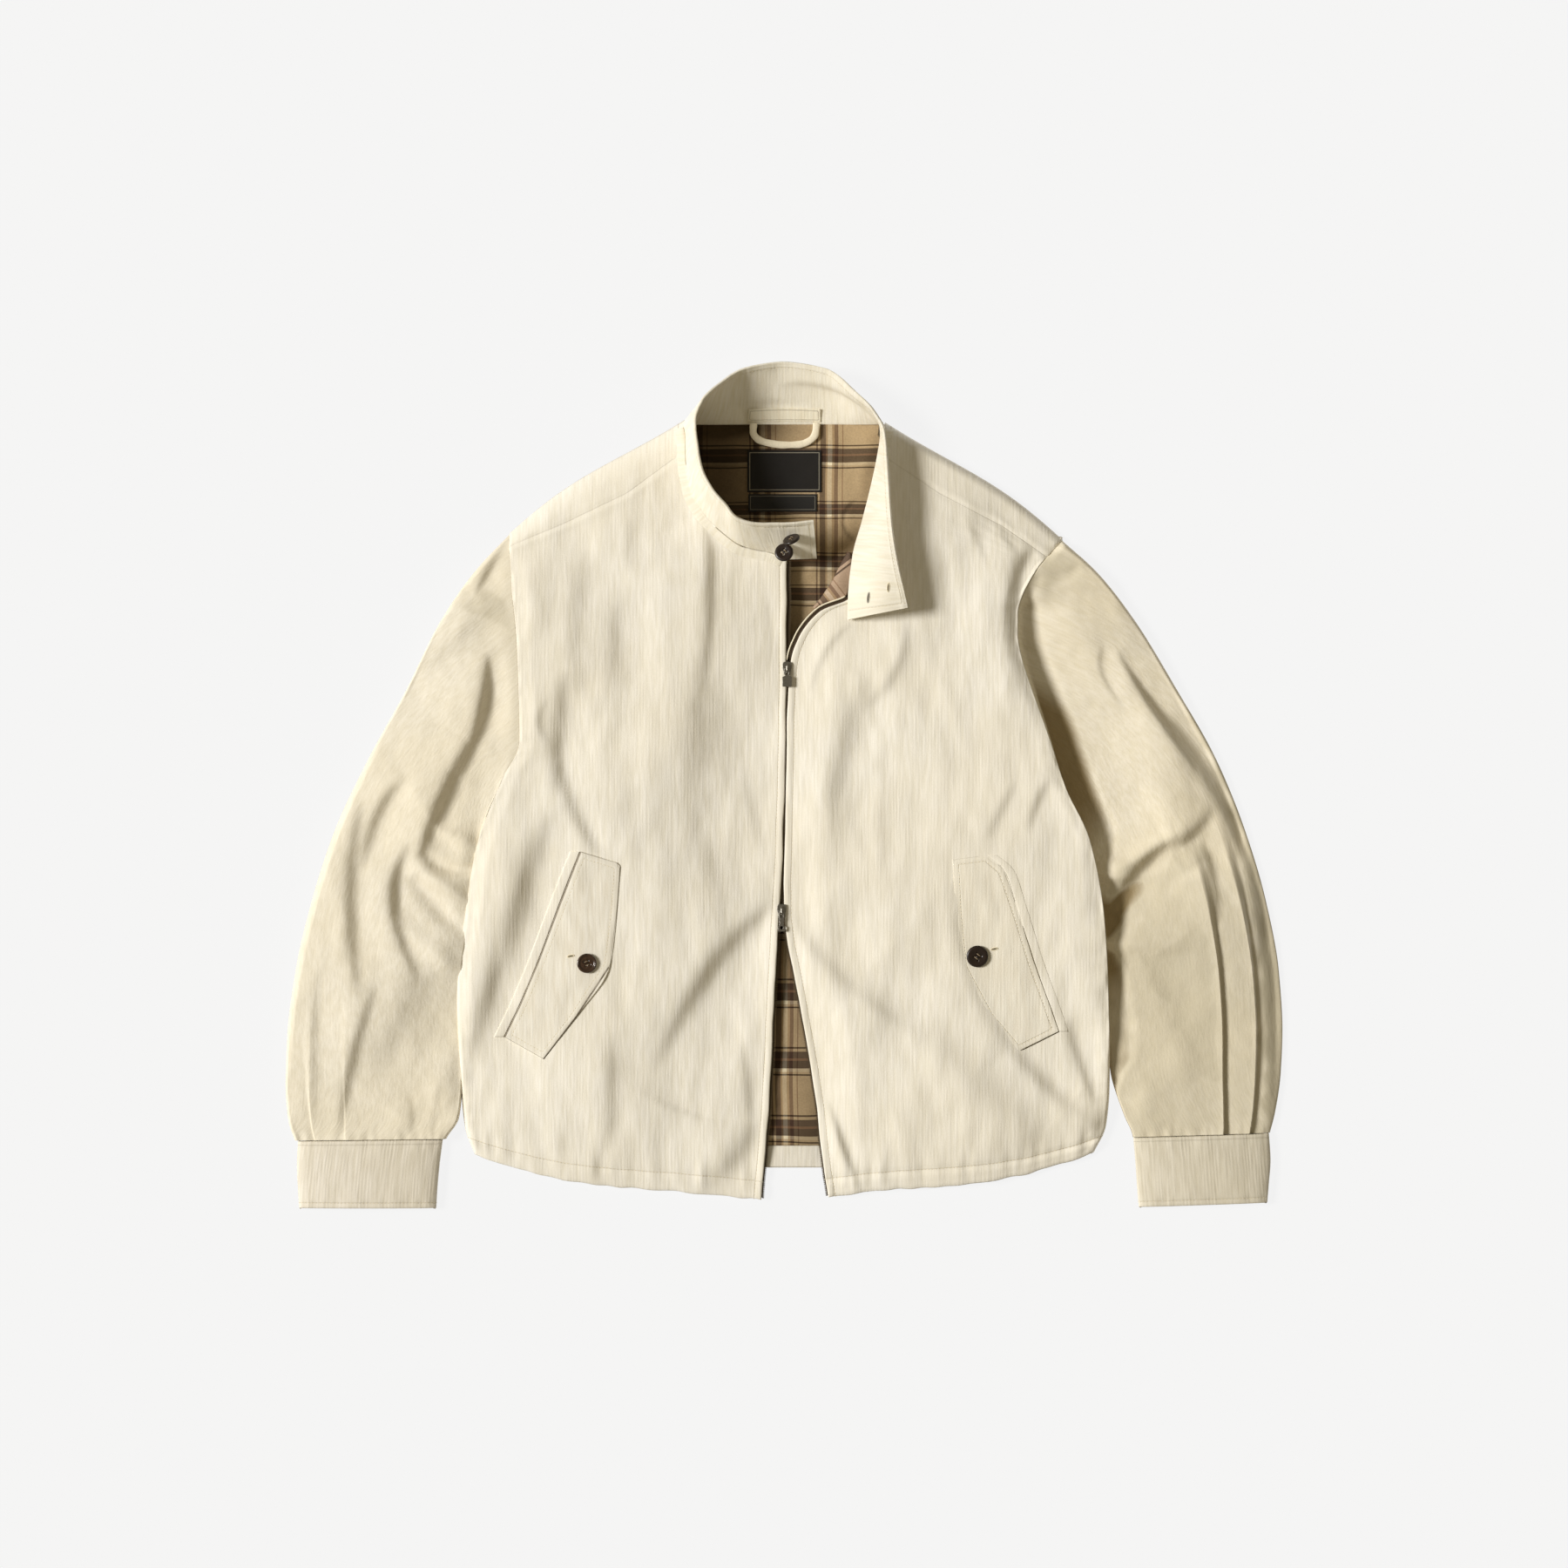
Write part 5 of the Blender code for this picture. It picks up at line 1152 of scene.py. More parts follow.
def buildTurned():
    s = turnedSettings
    places = np.linspace(0, len(turnedTable) - 1, s["along"])
    section, out, freeX, freeY = readRows(turnedTable, places)
    start = edgeHeight(1, section)
    start[:, :2] += np.array([edgeNormal(1, v) for v in section]) * out[:, None]
    start[:, 2] -= s["below"]
    w = np.linspace(0, 1, s["across"])[None, :]
    points = lerp(start[:, None], grid(freeX, freeY, start[:, 2] - 1.5)[:, None], w[..., None])
    points[..., 2] += 1.8 * np.sin(pi * w * 0.8) - 3.2 * w ** 6
    points[..., 2] += 0.7 * np.sin(places[:, None] * 2.6 + w * 3)
    x, y = points[..., 0], points[..., 1]
    sheetPiece("frontLeftLining", points, lapelCheck, "front_left_lining", s["wall"],
               grid(x * 0.8 + y * 0.6, y * 0.8 - x * 0.6), slot="lining", held="folded",
               restsOn=["frontLeft"])


buildTurned()


flapSettings = {"thickness": {-1: 1.5, 1: 0.8}, "lift": {-1: 0.3, 1: -0.3}, "raised": {-1: 0.9, 1: 0.4},
                "puff": 0.4, "welt": 9.0, "weltThickness": 0.7, "apart": {-1: 0.8, 1: 0.0}}
# attachedX attachedY freeX freeY, from the top to the bottom
flaps = {
    -1: [(-186, -62, -153, -72), (-191, -74, -150, -77), (-207, -115, -153, -118),
         (-225, -163, -159, -166), (-242, -203, -190, -213), (-256, -232, -220, -252)],
    1: [(186, -65, 154, -69), (201, -78, 155, -82), (214, -115, 157, -120), (229, -163, 162, -168),
        (243, -201, 186, -213), (252, -227, 214, -246)],
}


def flapOutline(side):
    return [r[:2] for r in flaps[side]] + [r[2:] for r in flaps[side][::-1]]


def buildPocket(side):
    s, table, tree, name = flapSettings, flaps[side], trees[side], sideNames[side]
    last, half = len(table) - 1, len(table)
    attachedX, attachedY, freeX, freeY = columns(table, spread(76, 0.5) * last)
    w = spread(34, 0.7)
    x, y = lerp(attachedX, freeX, w), lerp(attachedY, freeY, w)
    outline = flapOutline(side)
    inside = nearestOn(outline + outline[:1], x, y)[0]
    z = heightsOn(tree, x, y)
    z = lerp(z, z.mean(axis=1, keepdims=True), 0.4)      # it bridges the small dents under it
    z = z + s["thickness"][side] + s["lift"][side] + s["puff"] * (eased(inside / 3.5) - 1)
    z = z - 0.15 * bell((inside - 5) / 1.2) + 0.35 * roughness(x, y * 0.6, 14, side * 3.0)
    # its sewn edge, and the edge that lies highest; their distances also place painted shadow lines in the
    # flap's material
    sewn = nearestOn(outline[:half] if side < 0 else [(0, 900), (1, 900)], x, y)[0]
    raised = nearestOn(outline[half:half + 3] if side < 0 else outline[half - 1:half + 1], x, y)[0]
    points = grid(x, y, z + s["raised"][side] * bell(raised / 7))
    front = "front" + name
    flap = sheetPiece("pocketFlap" + name, points, flapCords[side], "pocket_flap_" + name.lower(),
                      s["thickness"][side], seams=grid(inside, sewn, raised), restsOn=[front])
    # welt: a flat strip beside the flap's sewn edge
    attachedX, attachedY, _, _ = columns(table, np.linspace(0, last, 60))
    w = spread(9, 0.5)
    x, y = np.broadcast_arrays(attachedX + side * (s["apart"][side] + s["welt"] * w), attachedY)
    z = heightsOn(tree, x, y) - 0.26 * (1 + side) + 0.1
    z = z + s["weltThickness"] * (0.55 + 0.45 * np.sin(pi * w) ** 0.5)
    sheetPiece("pocketWelt" + name, grid(x, y, z), bodyCord, "pocket_welt_" + name.lower(),
               s["weltThickness"], seams=grid(0 * x + 20, 20, 20), restsOn=[front])
    return flap, points


pockets = {side: buildPocket(side) for side in flaps}
print("pockets made")


buttonSettings = {
    "thick": 3.2,
    "hole": 1.0,
    "holeCircle": 0.26,    # share of the radius
    "foot": 0.85,
    "lift": 0.5,
    "segments": 56,
    "thread": 0.45,
}
# half outlines as shares of the radius and thickness
dishedProfile = [(0.80, 0), (0.93, 0.18), (1.0, 0.5), (0.985, 0.8), (0.93, 0.98), (0.86, 1.0),
                 (0.80, 0.92), (0.74, 0.70), (0.66, 0.60), (0.58, 0.62), (0.3, 0.62)]
domedProfile = [(0.80, 0), (0.94, 0.2), (1.0, 0.5), (0.97, 0.78), (0.90, 0.92), (0.80, 0.97),
                (0.68, 0.95), (0.55, 0.90), (0.3, 0.88)]


def weldedCopy(piece):
    # the finished surface of a piece, to set other pieces on
    final = piece.evaluated_get(bpy.context.evaluated_depsgraph_get())
    mesh = final.to_mesh()
    tree = BVHTree.FromPolygons([Vector(v.co) / mm for v in mesh.vertices],
                                [tuple(f.vertices) for f in mesh.polygons])
    final.to_mesh_clear()
    return tree


def settle(piece):
    # turns a piece with modifiers into a plain mesh
    deps = bpy.context.evaluated_depsgraph_get()
    mesh = bpy.data.meshes.new_from_object(piece.evaluated_get(deps))
    piece.modifiers.clear()
    piece.data = mesh


def tubeInto(bm, path, radius, sides, flat=1.0, closed=False):
    # a round or flattened tube along a path, in millimetres
    path = [Vector(p) for p in path]
    count = len(path)
    turns = [2 * pi * k / sides for k in range(sides)]
    rings = []
    for i, p in enumerate(path):
        before = path[(i - 1) % count] if closed or i else path[i]
        after = path[(i + 1) % count] if closed or i < count - 1 else path[i]
        along = (after - before).normalized()
        up = Vector((0, 0, 1)) if abs(along.z) < 0.9 else Vector((0, 1, 0))
        side = along.cross(up).normalized()
        up = side.cross(along)
        size = radius[i] if hasattr(radius, "__len__") else radius
        rings.append([(p + side * size * np.cos(a) + up * size * flat * np.sin(a)) * mm for a in turns])
    skinInto(bm, rings, closed)


def skinInto(bm, rings, closed=False):
    # faces between rings of points, in metres, and over both ends
    rings = [[bm.verts.new(p) for p in ring] for ring in rings]
    faces = [bm.faces.new((a[k], a[(k + 1) % len(a)], b[(k + 1) % len(a)], b[k]))
             for a, b in zip(rings, rings[1:] + (rings[:1] if closed else [])) for k in range(len(a))]
    if not closed:
        faces += [bm.faces.new(rings[0][::-1]), bm.faces.new(rings[-1])]
    bmesh.ops.recalc_face_normals(bm, faces=faces)


def tubePiece(name, path, radius, sides, material, nodes=(), **shape):
    bm = bmesh.new()
    tubeInto(bm, path, radius, sides, **shape)
    return dress(meshObject(name, bm), material, "cloth", cloth, *nodes)


def onCircle(radius, count, start=0.0):
    return [(radius * np.cos(start + 2 * pi * i / count), radius * np.sin(start + 2 * pi * i / count))
            for i in range(count)]


def buildButton(name, node, radius, place, normal, dished, spin):
    s = buttonSettings
    bm = bmesh.new()
    skinInto(bm, [[(a * mm, b * mm, s["thick"] * z * mm) for a, b in onCircle(radius * r, s["segments"])]
                  for r, z in (dishedProfile if dished else domedProfile)])
    button = meshObject(name, bm)
    holes = bmesh.new()
    for a, b in onCircle(radius * s["holeCircle"], 4, pi / 4):
        made = bmesh.ops.create_cone(holes, cap_ends=True, segments=16, radius1=s["hole"] * mm,
                                     radius2=s["hole"] * mm, depth=12 * mm)
        bmesh.ops.translate(holes, verts=made["verts"], vec=(a * mm, b * mm, 0))
    cutter = meshObject(name + "Drill", holes)
    cut = button.modifiers.new("drill", "BOOLEAN")
    cut.operation = "DIFFERENCE"
    cut.object = cutter
    settle(button)
    bpy.data.objects.remove(cutter)
    button.data.shade_smooth()
    # two bars of thread across the holes
    top = s["thick"] * (0.62 if dished else 0.88)
    apart = radius * s["holeCircle"] * 0.707
    bm = bmesh.new()
    for side in (-1, 1):
        tubeInto(bm, [(side * apart, apart * along, top + rise) for along, rise in (
            (-1, -1.6), (-0.9, 0.1), (0, 0.55), (0.9, 0.1), (1, -1.6))], s["thread"], 8)
    thread = meshObject(name + "Thread", bm)
    turn = Vector(normal).to_track_quat("Z", "Y").to_matrix().to_4x4()
    for piece in (button, thread):
        piece.data.transform(Matrix.Translation(Vector(place) * mm) @ turn @ Matrix.Rotation(spin, 4, "Z"))
    dress(button, hornResin if dished else darkHorn, "button", cloth, node)
    dress(thread, brownThread, "button", cloth)


def setFlapButton(side, radius, x, y, dished, spin):
    place, normal = dropOn(treeOf(pockets[side][1]), x, y)
    name = sideNames[side]
    buildButton("pocketButton" + name, "button_pocket_" + name.lower(), radius,
                place + normal * buttonSettings["lift"], normal, dished, spin)


def setCollarButton(name, radius, section, height, upright, spin):
    def reach(along, up):
        return Vector(collarPoint(section + along, height + up))

    normal = (reach(0, 0.1) - reach(0, -0.1)).cross(reach(0.2, 0) - reach(-0.2, 0)).normalized()
    normal = normal if normal.z > 0 else -normal
    facing = Vector(upright).normalized()
    tip = buttonSettings["foot"] * radius * np.sqrt(max(0.0, 1 - normal.dot(facing) ** 2))
    lift = collarSettings["wall"] / 2 + buttonSettings["lift"] + tip
    buildButton("collarButton" + name, "button_collar_" + name.lower(), radius,
                reach(0, 0) + normal * lift, facing, False, spin)


setFlapButton(-1, 9.0, -180.4, -164, True, 0.1)
setFlapButton(1, 10.0, 176.8, -157.6, False, 0.5)
setCollarButton("Lower", 8.5, 1.12, 0.35, (-0.1, 0.25, 0.95), 0.3)
setCollarButton("Upper", 8.2, 0.79, 0.68, (-0.36, 0.86, 0.5), 0.9)


buttonholeSettings = {"halfWidth": 0.95, "thread": 0.42, "threadLift": 0.2, "slit": 0.5, "slitLift": 0.15,
                      "slitShare": 0.42}


def buildButtonhole(name, tree, x, y, turn, length, material):
    # thread wound closely round a slit, and a dark strip of painted shade for the slit itself
    s = buttonholeSettings

    def laid(along, aside, lift):
        place, normal = dropOn(tree, x + along * np.cos(turn) - aside * np.sin(turn),
                               y + along * np.sin(turn) + aside * np.cos(turn))
        return place + normal * lift

    ring = [laid(a * length / 2, b * s["halfWidth"], s["threadLift"]) for a, b in onCircle(1, 28)]
    tubePiece(name, ring, s["thread"], 6, material, closed=True)
    slit = [laid(t * length, 0, s["slitLift"]) for t in np.linspace(-s["slitShare"], s["slitShare"], 9)]
    tubePiece(name + "SlitShade", slit, s["slit"], 6, holeShade, flat=0.5)


collarTree = weldedCopy(collar)
flapTrees = {side: weldedCopy(pockets[side][0]) for side in pockets}
buildButtonhole("flapHoleRight", flapTrees[-1], -195, -157.5, 0.2, 6.5, creamThread)
buildButtonhole("flapHoleLeft", flapTrees[1], 192.5, -151, 0.2, 6.5, creamThread)
buildButtonhole("collarHoleLower", collarTree, 77, 170, 1.45, 9.5, greyThread)
buildButtonhole("collarHoleUpper", collarTree, 95, 179, 1.5, 8.0, creamThread)
print("buttons made")


# middle x y, width, height
labelPlace = {"label": (0.4, 287.0, 68.0, 38.5), "size_tab": (-1.2, 258.0, 63.0, 16.0)}
labelSettings = {"wall": 0.7, "lift": 0.9, "waver": 0.2}
loopSettings = {"places": 90, "halfWidth": 3.3, "height": 6.4, "flat": 0.42}
loopPath = [(-28, 331), (-28.4, 323), (-24, 316.4), (-13, 312.6), (0, 311), (13, 311.4), (23, 314.6),
            (28.6, 321), (30, 331)]
patchSettings = {"wall": 0.5, "sections": (11.16, 12.84), "heights": (0.03, 0.26), "out": 1.32}


def buildLabel(name, node, weave):
    s = labelSettings
    x0, y0, width, height = labelPlace[node]
    x, y = np.meshgrid(x0 + width * np.linspace(-0.5, 0.5, 70), y0 + height * np.linspace(-0.5, 0.5, 40))
    z = liningHeight(x, y) + s["lift"] + s["waver"] * roughness(x, y, 26, 2.0)
    inside = np.minimum(width / 2 - abs(x - x0), height / 2 - abs(y - y0))
    sheetPiece(name, grid(x, y, z), weave, node, s["wall"], seams=grid(inside, inside, inside), slot="label",
               restsOn=["backLining"])


def buildLoop():
    # a sewn strip, a little uneven in width and height
    s = loopSettings
    x, y = readRows(loopPath, np.linspace(0, len(loopPath) - 1, s["places"]))
    t = np.linspace(0, 1, s["places"])
    size = s["halfWidth"] + 0.12 * np.sin(t * 31) + 0.1 * np.sin(t * 53)
    path = grid(x, y, s["height"] + 0.4 * np.sin(t * 17))
    tubePiece("hangerLoop", path, size, 14, loopCord, ["hanger_loop"], flat=s["flat"])


def buildNeckPatch():
    # the strip that holds the loop's ends, sewn to the inside of the collar
    s = patchSettings
    (first, last), (low, high) = s["sections"], s["heights"]
    height, section = np.meshgrid(np.linspace(low, high, 14), np.linspace(first, last, 40))
    points = collarPoint(section, height)
    normal = normalsOf(points)
    normal *= np.sign(normal[..., 2:3])
    inside = np.minimum(np.minimum(section - first, last - section) * 40,
                        np.minimum(height - low, high - height) * 62)
    out = s["out"] + 0.12 * roughness(points[..., 0], points[..., 1], 8, 5.0)
    sheetPiece("neckPatch", points + normal * out[..., None], patchCord, "", s["wall"],
               seams=grid(inside, inside, inside), restsOn=["standCollar"])


buildLabel("neckLabel", "label", labelWeave)
buildLabel("sizeTab", "size_tab", tabWeave)
buildLoop()
buildNeckPatch()
print("label and loop made")


zipSettings = {
    "under": 8.0,
    "reach": 3.0,
    "closedReach": 0.55,
    "closedFrom": -108.0,
    "closedTo": 112.0,
    "drop": 2.0,
    "tape": 1.0,
    "toothPitch": 1.5,
    "toothLong": 2.0,
    "toothWide": 0.8,
    "toothHigh": 1.0,
    "toothSeed": 5,
    "piping": 0.75,
    "pipingOut": 3.9,
    "pipingDrop": 1.5,
}


def buildZipSide(side, last, below, held):
    s, name = zipSettings, sideNames[side]
    v = np.linspace(0.1, last, 260)
    edge, under = edgeHeight(side, v), edgeHeight(side, v, s["under"])
    normal = np.array([edgeNormal(side, a) for a in v])
    closed = eased((edge[:, 1] - s["closedFrom"] + 12) / 12) * eased((s["closedTo"] + 12 - edge[:, 1]) / 12)
    out = s["closedReach"] * closed + np.where(edge[:, 1] < 0, below, s["reach"]) * (1 - closed)
    rim = edge.copy()
    rim[:, :2] += normal * out[:, None]
    under[:, 2] = rim[:, 2] = np.minimum(under[:, 2], edge[:, 2])
    points = lerp(under[:, None], rim[:, None], np.linspace(0, 1, 5)[None, :, None])
    points[..., 2] -= s["drop"]
    node = "zip_tape_" + name.lower()
    sheetPiece("zipTape" + name, points, brownTape, node + " " + node + "_end", s["tape"], slot="tape",
               held=held, restsOn=["front" + name])
    rim[:, :2] += normal * 0.1
    rim[:, 2] -= s["drop"] - 0.3
    return rim, edge, normal


def buildPiping(edge, normal):
    # the folded lining edge that shows beside the teeth where the front turns out
    keep = edge[:, 1] > zipSettings["closedTo"]
    path = edge[keep]
    path[:, :2] += normal[keep] * zipSettings["pipingOut"]
    path[:, 2] -= zipSettings["pipingDrop"]
    tubePiece("lapelPiping", path[::2], zipSettings["piping"], 8, loopCord)


teethRight, _, _ = buildZipSide(-1, 8.9, 1.3, "laid")
teethLeft, *leftEdge = buildZipSide(1, 10.8, 1.0, "folded")
buildPiping(*leftEdge)

stitchSettings = {"pitch": 3.3, "length": 2.4, "width": 0.5, "height": 0.3, "lift": 0.04, "seed": 11,
                  "flapInset": 5.2}


def repeatTree(shape):
    # one small piece repeated along the edges of a mesh: a rounded stitch or a square tooth
    name = "stitchesAlongLine" if shape == "stitch" else "teethAlongTape"
    tree = bpy.data.node_groups.new(name, "GeometryNodeTree")
    for label, kind in (("Geometry", "Geometry"), ("Pitch", "Float"), ("Length", "Float"), ("Width", "Float"),
                        ("Height", "Float"), ("Seed", "Int"), ("Material", "Material")):
        tree.interface.new_socket(label, in_out="INPUT", socket_type="NodeSocket" + kind)
    tree.interface.new_socket("Geometry", in_out="OUTPUT", socket_type="NodeSocketGeometry")
    given = addNode(tree, "NodeGroupInput").outputs
    line = addNode(tree, "GeometryNodeMeshToCurve", (given["Geometry"],))
    marks = addNode(tree, "GeometryNodeResampleCurve", {"Curve": line.outputs[0], "Length": given["Pitch"]},
                    mode="LENGTH")
    if shape == "stitch":
        small = addNode(tree, "GeometryNodeMeshUVSphere", {"Segments": 6, "Rings": 4, "Radius": 0.5})
    else:
        small = addNode(tree, "GeometryNodeMeshCube", {"Size": (1, 1, 1)})
    tangent = addNode(tree, "GeometryNodeInputTangent")
    turn = addNode(tree, "FunctionNodeAlignRotationToVector", {"Vector": tangent.outputs[0]}, axis="X")
    change = addNode(tree, "FunctionNodeRandomValue", {2: 0.82, 3: 1.1, "Seed": given["Seed"]},
                     data_type="FLOAT")
    longer = maths(tree, "MULTIPLY", given["Length"], change.outputs[1])
    size = addNode(tree, "ShaderNodeCombineXYZ", (longer, given["Width"], given["Height"]))
    placed = addNode(tree, "GeometryNodeInstanceOnPoints",
                     {"Points": marks.outputs[0], "Instance": small.outputs[0], "Rotation": turn.outputs[0],
                      "Scale": size.outputs[0]})
    real = addNode(tree, "GeometryNodeRealizeInstances", (placed.outputs[0],))
    done = addNode(tree, "GeometryNodeSetMaterial", {"Geometry": real.outputs[0],
                                                     "Material": given["Material"]})
    addNode(tree, "NodeGroupOutput", (done.outputs[0],))
    return tree


def repeatAlong(name, shape, paths, material, slot, pitch, length, width, height, seed):
    # paths are lists of points in millimetres
    points, edges = [], []
    for path in paths:
        start = len(points)
        points += [tuple(Vector(p) * mm) for p in path]
        edges += [(i, i + 1) for i in range(start, len(points) - 1)]
    mesh = bpy.data.meshes.new(name)
    mesh.from_pydata(points, edges, [])
    piece = linked(name, mesh)
    repeat = piece.modifiers.new("repeat", "NODES")
    tree = repeat.node_group = repeatTree(shape)
    values = {"Pitch": pitch * mm, "Length": length * mm, "Width": width * mm, "Height": height * mm,
              "Seed": seed, "Material": material}
    for item in tree.interface.items_tree:
        if item.in_out == "INPUT" and item.name in values:
            repeat[item.identifier] = values[item.name]
    settle(piece)
    if shape == "stitch":
        piece.data.shade_smooth()
    dress(piece, material, slot, cloth)


def lineAt(points, mark, distance, along, lift=0.0):
    # places on a grid where a mark reaches a distance, one for each row or column
    rows, marks = (points, mark) if along == 0 else (points.swapaxes(0, 1), mark.T)
    line = []
    for row, m in zip(rows, marks):
        if m[0] > m[-1]:
            row, m = row[::-1], m[::-1]
        near = np.argmax(m >= distance) if (m >= distance).any() else -1
        if near > 0:
            f = (distance - m[near - 1]) / max(m[near] - m[near - 1], 1e-6)
            line.append(lerp(row[near - 1], row[near], f) + (0, 0, lift))
    return np.array(line)


def draped(tree, path, lift, step=3.0):
    # a flat path laid on a surface
    line = []
    for (ax, ay), (bx, by) in zip(path, path[1:]):
        count = max(int(np.hypot(bx - ax, by - ay) / step), 1)
        for i in range(count):
            place, normal = dropOn(tree, lerp(ax, bx, i / count), lerp(ay, by, i / count))
            line.append(place + normal * lift)
    return line


def shrunk(outline, by):
    # an outline moved inwards
    middle = np.mean(outline, axis=0)
    result = []
    count = len(outline)
    for i in range(count):
        p, q, r = (np.array(outline[(i + k) % count], float) for k in (-1, 0, 1))
        a, b = (q - p) / np.linalg.norm(q - p), (r - q) / np.linalg.norm(r - q)
        na, nb = np.array([-a[1], a[0]]), np.array([-b[1], b[0]])
        if np.dot(na, middle - q) < 0:
            na, nb = -na, -nb
        bisector = (na + nb) / max(np.linalg.norm(na + nb), 1e-6)
        result.append(tuple(q + bisector * by / max(np.dot(bisector, na), 0.35)))
    return result


def sewingPaths():
    paths = []
    lift = stitchSettings["lift"]
    for points, marks in frontGrids.values():
        paths.append(lineAt(points, marks[..., 0], frontSettings["zipStitch"], 0, lift))
        paths.append(lineAt(points, marks[..., 1], frontSettings["hemBand"], 1, lift))
    for side in flaps:
        inner = shrunk(flapOutline(side), stitchSettings["flapInset"])
        paths.append(draped(flapTrees[side], inner + inner[:1], lift))
    for points, marks in cuffGrids:
        paths.append(lineAt(points, marks[..., 1], cuffSettings["sewnAt"], 1, lift))
    half, sewnAt = len(collarGrid) // 2, collarSettings["sewnAt"]
    for side in (1, -1):
        face = collarGrid + collarNormals * side * (collarSettings["wall"] / 2 + lift)
        paths.append(lineAt(face, collarMarks[..., 0], sewnAt, 0)[2:-2])
        paths.append(lineAt(face[:half], collarMarks[:half, :, 2], sewnAt, 1)[2:-3])
        paths.append(lineAt(face[half:], collarMarks[half:, :, 2], sewnAt, 1)[2:-3])
    return paths


s = stitchSettings
repeatAlong("topStitching", "stitch", sewingPaths(), creamThread, "cloth", s["pitch"], s["length"],
            s["width"], s["height"], s["seed"])
s = zipSettings
repeatAlong("zipTeeth", "tooth", [teethRight, teethLeft], toothMetal, "metal", s["toothPitch"],
            s["toothWide"], s["toothLong"], s["toothHigh"], s["toothSeed"])
print("sewing and teeth made")


sliderSettings = {"width": 8.4, "length": 12.0, "plate": 2.0, "bridgeWidth": 1.7, "bridgeLong": 7.0,
                  "room": 2.3, "edge": 0.22}
pullSettings = {"half": 2.4, "hole": 1.3, "bar": 1.2, "eye": 5.6, "thick": 0.38}
# name, x, y, z, pull length, pull width, how long its flared end is
sliders = [("top", 2.8, 106, 17.1, 17.0, 8.6, 9.0), ("bottom", -2.2, -116, 16.6, 19.0, 7.0, 4.2)]


def mirrored(half):
    return half + [(-a, b) for a, b in half[::-1]]


def buildSlider(name, x, y, z):
    s = sliderSettings
    bm = bmesh.new()
    outline = mirrored([(0.2, 0.5), (0.42, 0.46), (0.50, 0.30), (0.5, 0.08), (0.40, -0.2), (0.36, -0.42),
                        (0.28, -0.5)])
    for low, high, grow in ((0, 0.7, 1.0), (0.7, 1.3, 0.8), (1.3, s["plate"], 1.0)):
        skinInto(bm, [[((x + a * s["width"] * grow) * mm, (y + b * s["length"] * grow) * mm, (z + h) * mm)
                       for a, b in outline] for h in (low, high)])
    top, half, room = z + s["plate"], s["bridgeLong"] / 2, s["room"]
    arch = mirrored([(half, -0.5), (half, room * 0.6), (half - 0.6, room), (half - 1.6, room + 0.45)])
    tubeInto(bm, [(x, y + a, top + h) for a, h in arch], s["bridgeWidth"] / 2, 10, flat=0.62)
    bmesh.ops.recalc_face_normals(bm, faces=bm.faces)
    body = meshObject("zipSlider" + name.capitalize(), bm, smooth=False)
    edge = body.modifiers.new("edge", "BEVEL")
    edge.width = s["edge"] * mm
    edge.segments = 2
    edge.limit_method = "ANGLE"
    dress(body, pewter, "metal", cloth, "zip_slider_" + name)


def buildPull(name, x, y, z, length, width, plate):
    # stamped pull: an eye round the bridge, a waist and a flared end
    s, bevel = pullSettings, sliderSettings["edge"]
    axisZ = z + sliderSettings["plate"] + sliderSettings["room"] / 2
    half, hole, end = s["half"], s["hole"], width / 2
    bar, eye = s["bar"] / 2, -s["bar"] / 2 - s["eye"]
    waist = max(-length * 0.55, plate + 1.4 - length)
    loops = [
        mirrored([(half - 0.5, bar), (half, 0), (half, eye), (half * 0.8, waist),
                  (half * 0.85, -length + plate + 1), (end, -length + plate), (end, -length + 0.9),
                  (end - 0.7, -length)]),
        mirrored([(hole, -bar), (hole, eye + 0.8), (hole - 0.8, eye)])]
    if name == "bottom":
        loops.append([(a, b - length + 3.4) for a, b in onCircle(1.5, 16)])
    shape = bpy.data.curves.new("pullShape", "CURVE")
    shape.dimensions = "2D"
    shape.fill_mode = "BOTH"
    for points in loops:
        spline = shape.splines.new("POLY")
        spline.points.add(len(points) - 1)
        for point, (a, b) in zip(spline.points, points):
            point.co = (a * mm, b * mm, 0, 1)
        spline.use_cyclic_u = True
    shape.extrude = s["thick"] * mm
    shape.bevel_depth = bevel * mm
    shape.bevel_resolution = 2
    shape.offset = -bevel * mm
    draft = linked("pullShape", shape)
    deps = bpy.context.evaluated_depsgraph_get()
    bm = bmesh.new()
    bm.from_mesh(bpy.data.meshes.new_from_object(draft.evaluated_get(deps)))
    bpy.data.objects.remove(draft)
    bmesh.ops.remove_doubles(bm, verts=bm.verts, dist=1e-6)
    bmesh.ops.recalc_face_normals(bm, faces=bm.faces)
    bmesh.ops.translate(bm, verts=bm.verts, vec=(x * mm, y * mm, axisZ * mm))
    pull = meshObject("zipPull" + name.capitalize(), bm, smooth=False)
    dress(pull, pewter, "metal", "pull_" + name, "zip_pull_" + name)


for name, x, y, z, *pull in sliders:
    buildSlider(name, x, y, z)
    buildPull(name, x, y, z, *pull)
print("sliders and pulls made")


def cutOf(points, closed):
    # width, length and area of the cloth that a grid shows, in metres
    g = np.concatenate([points, points[:, :1]], 1) if closed else points
    width = np.linalg.norm(np.diff(g, axis=1), axis=-1).sum(1).max()
    length = np.linalg.norm(np.diff(g, axis=0), axis=-1).sum(0).max()
    area = sum(np.linalg.norm(np.cross(a - c, b - c), axis=-1).sum() / 2 for a, b, c in (
        (g[1:, :-1], g[:-1, 1:], g[:-1, :-1]), (g[1:, :-1], g[:-1, 1:], g[1:, 1:])))
    return width * mm, length * mm, area * mm * mm


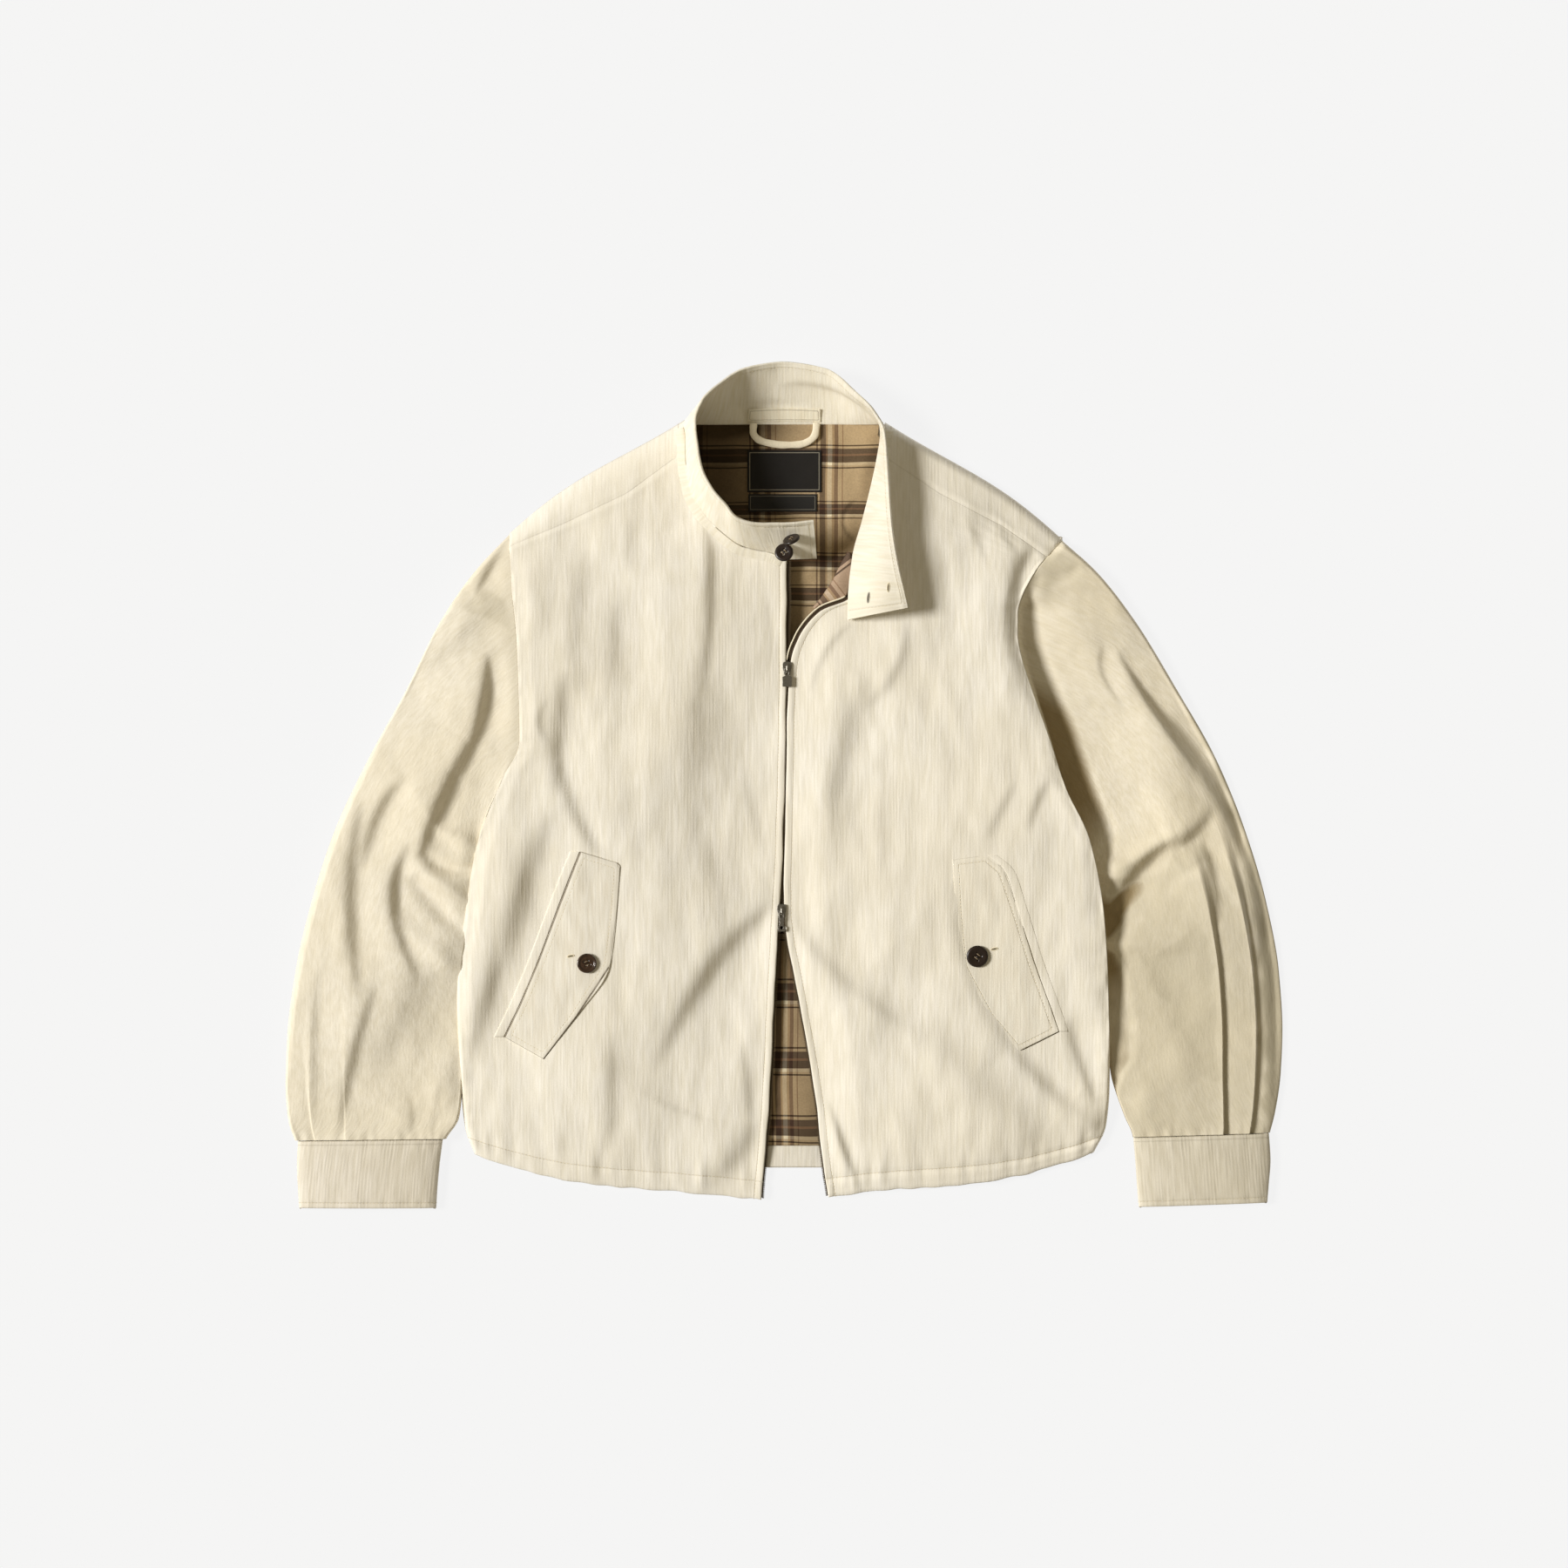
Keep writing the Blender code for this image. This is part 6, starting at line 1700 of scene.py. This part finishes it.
narrowest = 0.0102         # the narrowest width a sheet is given, in metres
for piece, points, held, restsOn, closed in clothPieces:
    width, length, area = cutOf(points, closed)
    width = max(width, narrowest)
    print("cloth", piece.name, round(width, 3), round(length, 3), round(area, 4))


viewSettings = {"distance": 6.0, "frame": 1.44, "sensor": 36, "farthest": 50}    # metres, and mm of sensor
camera = linked("camera", bpy.data.cameras.new("camera"))
camera.data.sensor_width = viewSettings["sensor"]
camera.data.lens = viewSettings["sensor"] * viewSettings["distance"] / viewSettings["frame"]
camera.location = (0, 0, viewSettings["distance"])
camera.data.clip_end = viewSettings["farthest"]
bpy.context.scene.camera = camera

lightSettings = {
    "keyStrength": 3.25,
    "keySpread": 18.0,     # degrees across, as a large softbox a few metres away
    "keyHeight": 40.0,     # degrees above the floor
    "keyTurn": 7.0,        # degrees towards +Y from -X
    "keyDistance": 3.0,
    "keyColour": "#FFFDF8",
    "fill": 0.24,
    "fillColour": "#FCEECC",
    "floorGlow": 0.86,
    "floorShade": 0.06,
    "floorDrop": 0.0004,   # metres below the jacket
    "floorSize": 8,
}


def studioLight():
    s = lightSettings
    lamp = bpy.data.lights.new("keySoftbox", "SUN")
    lamp.energy = s["keyStrength"]
    lamp.angle = np.radians(s["keySpread"])
    lamp.color = linear(s["keyColour"])[:3]
    turn, rise = np.radians(180 - s["keyTurn"]), np.radians(s["keyHeight"])
    spot = Vector((np.cos(rise) * np.cos(turn), np.cos(rise) * np.sin(turn), np.sin(rise)))
    spot *= s["keyDistance"]
    holder = linked("keySoftbox", lamp)
    holder.location = spot
    holder.rotation_mode = "QUATERNION"
    holder.rotation_quaternion = (-spot).to_track_quat("-Z", "Y")
    world = bpy.data.worlds.new("whiteTent")
    world.use_nodes = True
    setInputs(world.node_tree, world.node_tree.nodes["Background"],
              {"Color": linear(s["fillColour"]), "Strength": s["fill"]})
    bpy.context.scene.world = world
    bpy.context.scene.view_settings.view_transform = "Standard"


def paleFloor():
    # backlit paper, so that the soft shadow on it stays faint
    s = lightSettings
    bm = bmesh.new()
    bmesh.ops.create_grid(bm, x_segments=1, y_segments=1, size=s["floorSize"])
    bmesh.ops.translate(bm, verts=bm.verts, vec=(0, 0, -s["floorDrop"]))
    floor = meshObject("studioFloor", bm, smooth=False)
    paper = bpy.data.materials.new("backlitPaper")
    paper.use_nodes = True
    setInputs(paper.node_tree, paper.node_tree.nodes["Principled BSDF"], {
        "Base Color": (s["floorShade"],) * 3 + (1,), "Roughness": 1.0, "Specular IOR Level": 0.0,
        "Emission Color": (1, 1, 1, 1), "Emission Strength": s["floorGlow"]})
    floor.data.materials.append(paper)


studioLight()
paleFloor()
print("camera and light set")
